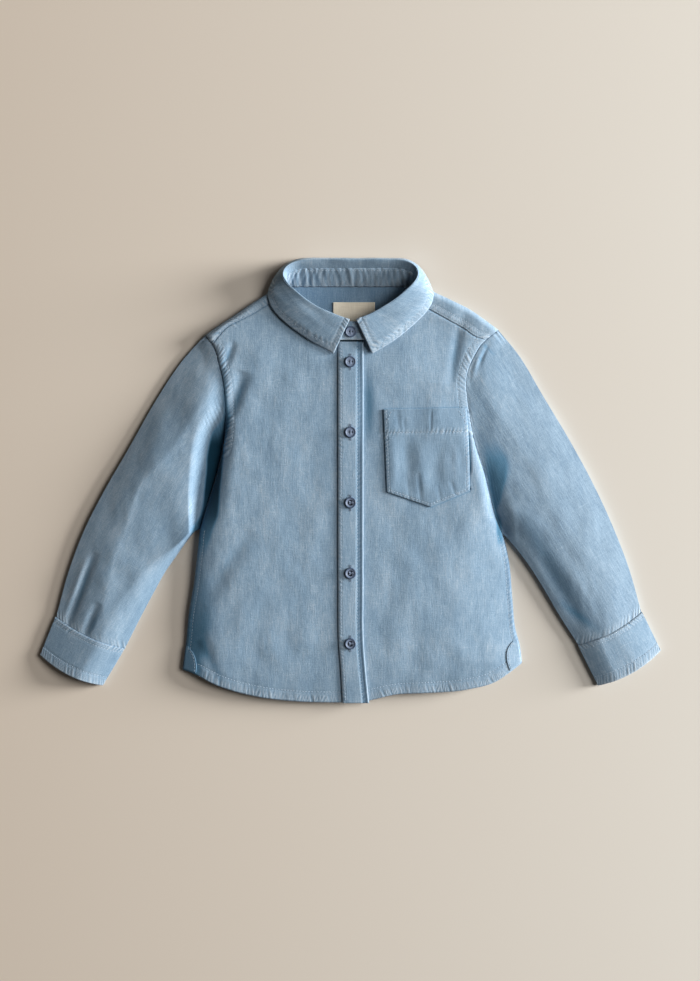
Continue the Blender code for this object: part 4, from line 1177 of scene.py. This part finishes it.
def collar_stand():
    """Band round the neck; its left end passes over its right end in front."""
    halves = {}
    for side in (-1, 1):
        rows = collar_rows(side, ("seam", "top"), steps(230))
        if side > 0:
            rows[..., 2] += stand_lift(rows)
        end = rows[-1].copy()
        end[:, 0] = STAND_END_X[side]
        end[:, 1] = STAND_END_Y
        halves[side] = np.concatenate([rows, mix(rows[-1], end, steps(16)[1:, None, None])])
    band = np.concatenate([halves[-1][::-1], halves[1][1:]])
    grid = mix(band[:, None, 0], band[:, None, 1], steps(20)[None, :, None])
    cloth = band_cloth(grid)
    relief = Relief(cloth)
    s, b = cloth[..., 0], cloth[..., 1]
    tall = b[:, -1:]
    relief.rise += swell(s, 0.4 * b, STAND_SWELL, 0.34)
    relief.ripples(s, b, "stand foot")
    relief.ripples(s, b, "stand low")
    relief.ripples(s, tall - b, "stand top")
    for d in (b, tall - b):
        relief.groove(d, STAND_GROOVE)
    # paler along the stand's foot: painted light over the shadow line where the stand meets the
    # yoke, and no painted shade of the puckers there
    relief.wear += 0.6 * bell(b, 1.1)
    relief.deep *= ease(b / 2)
    base = normals(grid)
    outer = grid + base * (BAND / 2 - relief.rise[..., None])
    thin = 1 - 0.9 * bell(tall - b, 1.3)
    inner = grid - base * (BAND / 2 * thin + relief.rise)[..., None]
    behind = np.abs(s[:, 0]) < STAND_BACK
    inner[behind, 0, :2] -= 0.7 * base[behind, 0, :2]
    inner[behind, 0, 2] = CLOTH + 0.05
    shell("collar_stand", outer, inner, relief)
    low, high = STAND_STITCHES
    sew(inner, cloth, [(s[4, 0], low), (s[-5, 0], low)], -1)
    sew(inner, cloth, [(s[i, 0], tall[i, 0] - high) for i in range(4, len(s) - 4, 4)], -1)


def collar_fall():
    """Pointed collar, turned down over the stand."""
    halves = []
    for side in (-1, 1):
        rows = collar_rows(side, ("seam", "top", "roll", "edge"), steps(230))
        rows[:, 1, 2] += stand_lift(rows[:, 1], side)
        halves.append(rows)
    rows = np.concatenate([halves[0][::-1], halves[1][1:]])
    seam, above, roll, edge = np.moveaxis(rows, 1, 0)
    start = above - unit(above - seam) * 0.6
    swells = [mix(roll, edge, t) + (0, 0, z) for t, z in FALL_SWELL]
    grid = along([start, roll, *swells, edge], steps(52)).reshape(-1, len(rows), 3)
    grid = np.moveaxis(grid, 0, 1)
    cloth = band_cloth(grid)
    relief = Relief(cloth)
    s, b = cloth[..., 0], cloth[..., 1]
    to_edge = b[:, -1:] - b
    to_ends = [np.linalg.norm(grid - grid[i], axis=-1) for i in (0, -1)]
    for d, run in ((to_edge, s), (to_ends[0], b), (to_ends[1], b)):
        relief.ripples(run, d, "fall edge")
        relief.ripples(run, d, "fall stitches")
        relief.groove(d, FALL_STITCH, 0.8, 0.3)
        relief.wear += 0.12 * bell(d, 1.3)
    relief.rise += swell(s, b, COLLAR_SWELL, 0.26) * ease(b / 6) * ease(to_edge / 5)
    relief.rise += swell(s, 0.0, COLLAR_SWELL, 0.30) * (1 - ease(np.abs(s) / 90))
    grid[..., 2] -= FALL_DROP * bell(to_edge, 5.0)
    base = normals(grid)
    outer = grid - base * relief.rise[..., None]
    shell("collar_fall", outer, grid + base * BAND, relief, flip=True)
    line = [(s[i, 0], b[i, -1] - FALL_STITCH) for i in range(6, len(s) - 6, 4)]
    sew(outer, cloth, line, -1)


# ---- what lies on the panels -------------------------------------------------

def lay_on(name, plan, relief, lift, wall, **looks):
    """A piece that lies on the fronts; gives its outer face."""
    outer = lay(plan, lift + wall + relief.rise)
    shell(name, outer, lay(plan, lift), relief, **looks)
    return outer


def placket():
    """Buttonhole band over the meeting edges of the fronts."""
    y = mix(float(hem_y(FRONT_SPLIT_X)), neckline(1, 1)[1] - SEAM_GAP, steps(360, 1.1))
    left, right = (column(PLACKET, name, y) for name in ("left", "right"))
    left = left + PLACKET_TURN
    t = steps(26.5, 0.85)
    x = mix(left[:, None], right[:, None], t)
    cloth = join(x, np.broadcast_to(y[:, None], x.shape))
    relief = Relief(cloth)
    from_left, from_right = x - left[:, None], right[:, None] - x
    run = cloth[..., 1]
    relief.ripples(run, from_left, "placket left")
    left_stitch, right_stitch = PLACKET_STITCHES
    relief.groove(from_left, left_stitch, 0.8, 0.2)
    relief.ripples(run, from_right, "placket right")
    relief.groove(from_right, right_stitch, 0.9, 0.5)
    relief.rise -= 0.85 * bell(from_left, 1.5) + 0.4 * bell(from_right, 0.9)
    relief.wear += 0.3 * bell(from_right, 1.1) + 0.2 * bell(from_left, 1.0)
    # painted shade in the groove of the right row of stitches
    relief.deep += 0.34 * bell(from_right - right_stitch, 0.9)
    relief.rise -= 0.5 * bell(from_right - 3.6, 1.5)
    relief.tone -= 0.24 * ease((6.5 - from_right) / 1.5) * ease((from_right - 0.6) / 1.2)
    outer = lay_on("placket", cloth, relief, LIFT, BAND)
    ys = np.linspace(y[0] + 2, y[-1] - 2, 40)
    for name, inset in (("left", PLACKET_TURN + left_stitch), ("right", -right_stitch)):
        sew(outer, cloth, join(column(PLACKET, name, ys) + inset, ys))


POCKET_FOLDS = table(Fold, [
    (46, 69, 49, 47, 2.6, -0.5), (80, 70, 80, 46, 0.8, -0.5), (52, 62, 54, 48, 1.6, -0.3),
    (54, 44, 57, -8, 5.5, -0.7, 1), (42, 44, 44, -6, 3.4, 0.4), (68, 42, 72, -14, 6.0, 0.6),
    (88, 40, 86, -10, 7.0, -0.7, -2), (70, -22, 67, 8, 2.2, -0.5), (90, -22, 86, -6, 2.0, -0.35),
    (58, -17, 56, 2, 2.0, -0.25), (104, -14, 99, 0, 2.0, -0.45), (104, 36, 106, 2, 4.0, 0.4),
])

POCKET_STITCH = 2.8
POCKET_TONE = -0.045
MOUTH_STITCH = 23.5


def pocket():
    """Patch pocket with a pointed foot, on the left front."""
    u, v = steps(83, 1.0), steps(97, 1.0)
    low, point, high = (np.array(p) for p in POCKET_BOTTOM)
    first = u[:, None] / POCKET_POINT
    second = (u[:, None] - POCKET_POINT) / (1 - POCKET_POINT)
    foot = np.where(first <= 1, mix(low, point, first), mix(point, high, second))
    head = mix(*np.array(POCKET_TOP), u[:, None])
    plan = mix(foot[None], head[None], v[:, None, None])
    plan[..., 0] += (POCKET_SIDE_BELLY * 4 * v * (1 - v))[:, None] * (u ** 6)
    relief = Relief(plan)
    mouth = plan[-1]
    border = np.concatenate([plan[::-1, 0], plan[0, 1:], plan[1:, -1]])
    d = relief.seam(border, "pocket sides", POCKET_STITCH, 0.8, 0.3, both=True)
    relief.rise -= 0.65 * bell(d, 1.6)
    d = relief.seam(mouth, "pocket mouth", MOUTH_STITCH, 0.8, 0.35, both=True)
    relief.rise += 0.35 * ease((MOUTH_STITCH + 1 - d) / 2)
    relief.rise += 0.35 * pillow(u, v) ** 0.6
    relief.rise += folds(plan[..., 0], plan[..., 1], POCKET_FOLDS)
    outer = lay_on("pocket", plan, relief, LIFT, CLOTH, tone=POCKET_TONE)
    inset = np.concatenate([
        plan[::-1, 0] + (POCKET_STITCH, 0), [plan[0, 0] + (3.0, 2.4)],
        plan[0, 3:-3] + (0, 3.0), plan[1:, -1] - (POCKET_STITCH, 0)])
    inset[:, 1] = np.clip(inset[:, 1], None, 69.5)
    sew(outer, plan, inset)
    sew(outer, plan, mouth[3:-3] - (0, MOUTH_STITCH))
    for near_edge, along_mouth in ((2, 8), (-3, -9)):
        sew(outer, plan, [mouth[along_mouth] - (0, 2.0), plan[-18, near_edge]])


def gusset(side):
    """Small rounded patch over the foot of one side seam."""
    rows = GUSSETS[side]
    v = steps(32, 1.0)[:, None]
    inner = along(rows, v[:, 0])
    outer_y = mix(EDGES[side][0].y + GUSSET_INSET, rows[-1].y, v[:, 0])
    outer_x = edge_x(side, outer_y) - side * GUSSET_INSET
    u = steps(16, 1.0)
    x, y = mix(outer_x[:, None], inner[:, :1], u), mix(outer_y[:, None], inner[:, 1:], u)
    hem = hem_y(x) + GUSSET_INSET
    y = np.maximum(y, mix(hem, y, ease(v)))
    plan = join(x, y)
    relief = Relief(plan)
    relief.seam(plan[:, -1], "gusset", side * GUSSET_STITCH)
    # painted shade over the gusset, strong at the wearer's right, where that corner lies in shadow
    relief.deep += GUSSET_PAINTED_SHADE[side]
    outer = lay_on(f"gusset_{SIDE_NAMES[side]}", plan, relief, GUSSET_LIFT, GUSSET_WALL,
                   flip=side > 0)
    sew(outer, plan, plan[1:-2, -1] + (side * GUSSET_STITCH, 0), -side)


def neck_label():
    """Woven label sewn inside the yoke, bare."""
    u, v = steps(42, 1.0), steps(20.5, 1.0)
    plan = join(*np.meshgrid(mix(*LABEL_X, u), mix(*LABEL_Y, v)))
    foot = CLOTH + SEAM
    outer = at_height(plan, foot + LABEL_T + 0.5 * pillow(u, v))
    shell("neck_label", outer, at_height(plan, foot),
          Relief(plan), material=TAPE)


# ---- thread and buttons ------------------------------------------------------

BUTTON_R = 5.6
BUTTON_PROFILE = (
    (0.5, -2.0), (4.9, -2.0), (5.4, -1.7), (5.6, -1.0), (5.5, -0.45), (5.2, -0.1),
    (4.85, 0.0), (4.5, -0.1), (4.15, -0.38), (3.8, -0.5), (2.9, -0.52),
)
DISH_Z = -0.52
BUTTON_HOLE_R = 0.8
HOLE_SPACING = 3.0
HOLE_DEPTH = 1.2
BUTTON_FOOT = 2.2           # from the button's top down to its buttonhole
BUTTONHOLE_HALF = 8.0
BUTTONHOLE_STITCHES = 34
SEWN_WIDTH = 0.30           # threads of a button, and of a buttonhole
BUTTONHOLE_WIDTH = 0.55
BUTTON_NAMES = ["button_neck"] + [f"button_{i}" for i in range(1, 6)]


def stitches(name, rows, material):
    """One mesh of every stitch in the rows."""
    # a six-sided spindle: one tip, two rings and the other tip
    angles = np.arange(6) * np.pi / 3
    rings = [(at, np.cos(a), np.sin(a)) for at in (-0.62, 0.62) for a in angles]
    shape = np.array([(-1.0, 0.0, 0.0), *rings, (1.0, 0.0, 0.0)])
    ring = [(i, (i + 1) % 6) for i in range(6)]
    faces = [(0, 1 + j, 1 + i) for i, j in ring]
    faces += [(1 + i, 1 + j, 7 + j) for i, j in ring] + [(1 + i, 7 + j, 7 + i) for i, j in ring]
    faces += [(13, 7 + i, 7 + j) for i, j in ring]
    faces = np.array(faces)
    points, tris, base = [], [], 0
    for a, b, out, width in rows:
        half = (b - a) / 2
        side = unit(np.cross(out, half))
        middle = (a + b) / 2 + out * width * 0.12
        made = (middle[:, None] + half[:, None] * shape[None, :, 0:1]
                + side[:, None] * shape[None, :, 1:2] * width / 2
                + out[:, None] * shape[None, :, 2:3] * width * 0.36)
        points.append(made.reshape(-1, 3))
        tris.append((faces[None] + 14 * np.arange(len(a))[:, None, None] + base).reshape(-1, 3))
        base += 14 * len(a)
    return make_object(name, np.concatenate(points), np.concatenate(tris), material)


def thread_between(a, b, out, width):
    """One stitch from point to point."""
    a, b, out = (np.array([p], float) for p in (a, b, out))
    return a, b, unit(out), width


def buttons():
    """Buttons with their thread, and the buttonholes that they are done up in."""
    sewn, holes = [], []
    level = np.array([1.0, 0, 0])
    for name in BUTTON_NAMES:
        low, high = (np.array(c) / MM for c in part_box(name))
        x, y = (low + high)[:2] / 2
        if name == "button_neck":
            slope = (COLLAR[-1].top[2] - COLLAR[-1].seam[2]) / (STAND_END_Y[1] - STAND_END_Y[0])
        else:
            slope = float(top(x, y + 5) - top(x, y - 5)) / 10
        tilt = np.arctan(slope)
        up = np.array([0, -np.sin(tilt), np.cos(tilt)])
        ahead = np.array([0, np.cos(tilt), np.sin(tilt)])
        centre = (low + high) / 2 + up
        button(name, centre, ahead, up)
        for k in (-0.35, 0.35):
            ends = [centre + level * s * HOLE_SPACING / 2 + ahead * k - up * 0.35 for s in (-1, 1)]
            sewn.append(thread_between(*ends, up, SEWN_WIDTH))
        slit = level if name == "button_neck" else ahead
        across = np.cross(slit, up)
        for at in np.linspace(-BUTTONHOLE_HALF, BUTTONHOLE_HALF, BUTTONHOLE_STITCHES):
            spot = centre - up * BUTTON_FOOT + slit * at
            holes += [thread_between(spot + across * s * 0.25, spot + across * s * 1.25, up,
                                     BUTTONHOLE_WIDTH) for s in (-1, 1)]
    stitches("button_thread", sewn, DARK_THREAD)
    stitches("buttonholes", holes, DARK_THREAD)


def button(name, centre, ahead, up):
    """The button itself: rings over the top and a round hole pair through it."""
    side = np.cross(ahead, up)

    def circle(spot, radius, count, z):
        a = np.linspace(0, 2 * np.pi, count + 1)[:-1, None]
        return spot + radius * (np.cos(a) * side + np.sin(a) * ahead) + z * up

    points = [circle(centre, r, 48, z) for r, z in BUTTON_PROFILE]
    wear = [np.full(48, r / BUTTON_R) for r, z in BUTTON_PROFILE]
    index = np.arange(48 * len(points)).reshape(-1, 48)
    faces, rings = quads(closed_round(index)).tolist(), [index[-1]]
    for s in (-1, 1):
        spot = centre + s * HOLE_SPACING / 2 * side
        points += [circle(spot, BUTTON_HOLE_R, 16, z) for z in (DISH_Z, DISH_Z - HOLE_DEPTH)]
        # the hole walls darken to the darkest colour at their bottoms: painted shade down the holes
        wear += [np.full(16, 0.3), np.full(16, 1.0)]
        hole = np.arange(32).reshape(2, 16) + index.size + 32 * (s > 0)
        faces += [*quads(closed_round(hole)).tolist(), hole[1].tolist()]
        rings.append(hole[0])
    points = np.concatenate(points)
    faces += moons(points, rings)
    pieces[name] = make_object(f"{name}_shell", points, faces, SHELL, wear=np.concatenate(wear))


def moons(points, rings):
    """Faces between the ring of the dish and its two holes."""
    bm = bmesh.new()
    verts = {i: bm.verts.new(points[i]) for loop in rings for i in loop}
    edges = [bm.edges.new((verts[loop[i - 1]], verts[loop[i]])) for loop in rings
             for i in range(len(loop))]
    bmesh.ops.triangle_fill(bm, use_beauty=True, edges=edges)
    back_to = {v: i for i, v in verts.items()}
    out = [[back_to[v] for v in f.verts] for f in bm.faces]
    bm.free()
    return out


# ---- stage -------------------------------------------------------------------

CAMERA_SPOT = (-0.0005, -0.0105, 2.316)
LAMP_COLOUR = (1.0, 0.995, 0.985)
ROOM_COLOUR = (1.0, 0.92, 0.86, 1)
ROOM_STRENGTH = 0.06


def studio():
    """Pale floor with painted light across it, soft light from the right and a camera straight
    above.
    """
    floor = bpy.data.meshes.new("floor")
    floor.from_pydata([(-4, -4, 0), (4, -4, 0), (4, 4, 0), (-4, 4, 0)], [], [(0, 1, 2, 3)])
    g = Graph("floor")
    place_at = g.add("TexCoord", out="Object")
    patches = g.noise(place_at, (3, 3, 3), 2)
    across = g.add("SeparateXYZ", {0: place_at})
    # the floor's colour runs from warmer and darker at the left to paler and cooler at the right:
    # painted light and shade of the lamps across it, with slight patches
    side = g.math("ADD", g.sum((patches, 0.12), (across, 1.25)), 0.44)
    colour = g.ramp(side, (0.0, (0.620, 0.535, 0.445)), (1.0, (0.630, 0.598, 0.542)))
    floor.materials.append(g.finish(colour, 0.9, Specular_IOR_Level=0.2))
    add_object("floor", floor)

    def light(name, spot, size, power, colour):
        lamp = bpy.data.lights.new(name, "AREA")
        lamp.shape, lamp.size, lamp.energy, lamp.color = "DISK", size, power, colour
        made = add_object(name, lamp)
        made.location = spot
        made.rotation_euler = (-made.location).to_track_quat("-Z", "Y").to_euler()

    light("key", (5.37, 0.95, 1.26), 2.2, 780, LAMP_COLOUR)
    light("upper", (3.69, 0.65, 4.16), 3.0, 190, LAMP_COLOUR)
    world = bpy.data.worlds.new("room")
    world.use_nodes = True
    colour, strength = world.node_tree.nodes["Background"].inputs[:2]
    colour.default_value, strength.default_value = ROOM_COLOUR, ROOM_STRENGTH
    bpy.context.scene.world = world

    camera = bpy.data.cameras.new("camera")
    camera.lens, camera.sensor_fit, camera.sensor_height = 85, "VERTICAL", 36
    bpy.context.scene.camera = add_object("camera", camera)
    bpy.context.scene.camera.location = CAMERA_SPOT
    bpy.context.scene.view_settings.view_transform = "Standard"


def declare():
    """What each piece rides on, and the CAD part it replaces."""
    for name, piece in pieces.items():
        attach(piece, "root")
        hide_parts(name)
        if name.startswith("button"):
            continue
    for name in ("topstitching", "button_thread", "buttonholes"):
        piece = bpy.data.objects[name]
        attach(piece, "root")


fronts()
back()
yoke()
for side in (-1, 1):
    sleeve(side)
    cuff(side)
    gusset(side)
collar_stand()
collar_fall()
placket()
pocket()
neck_label()
buttons()
stitches("topstitching", threads, THREAD)
studio()
declare()
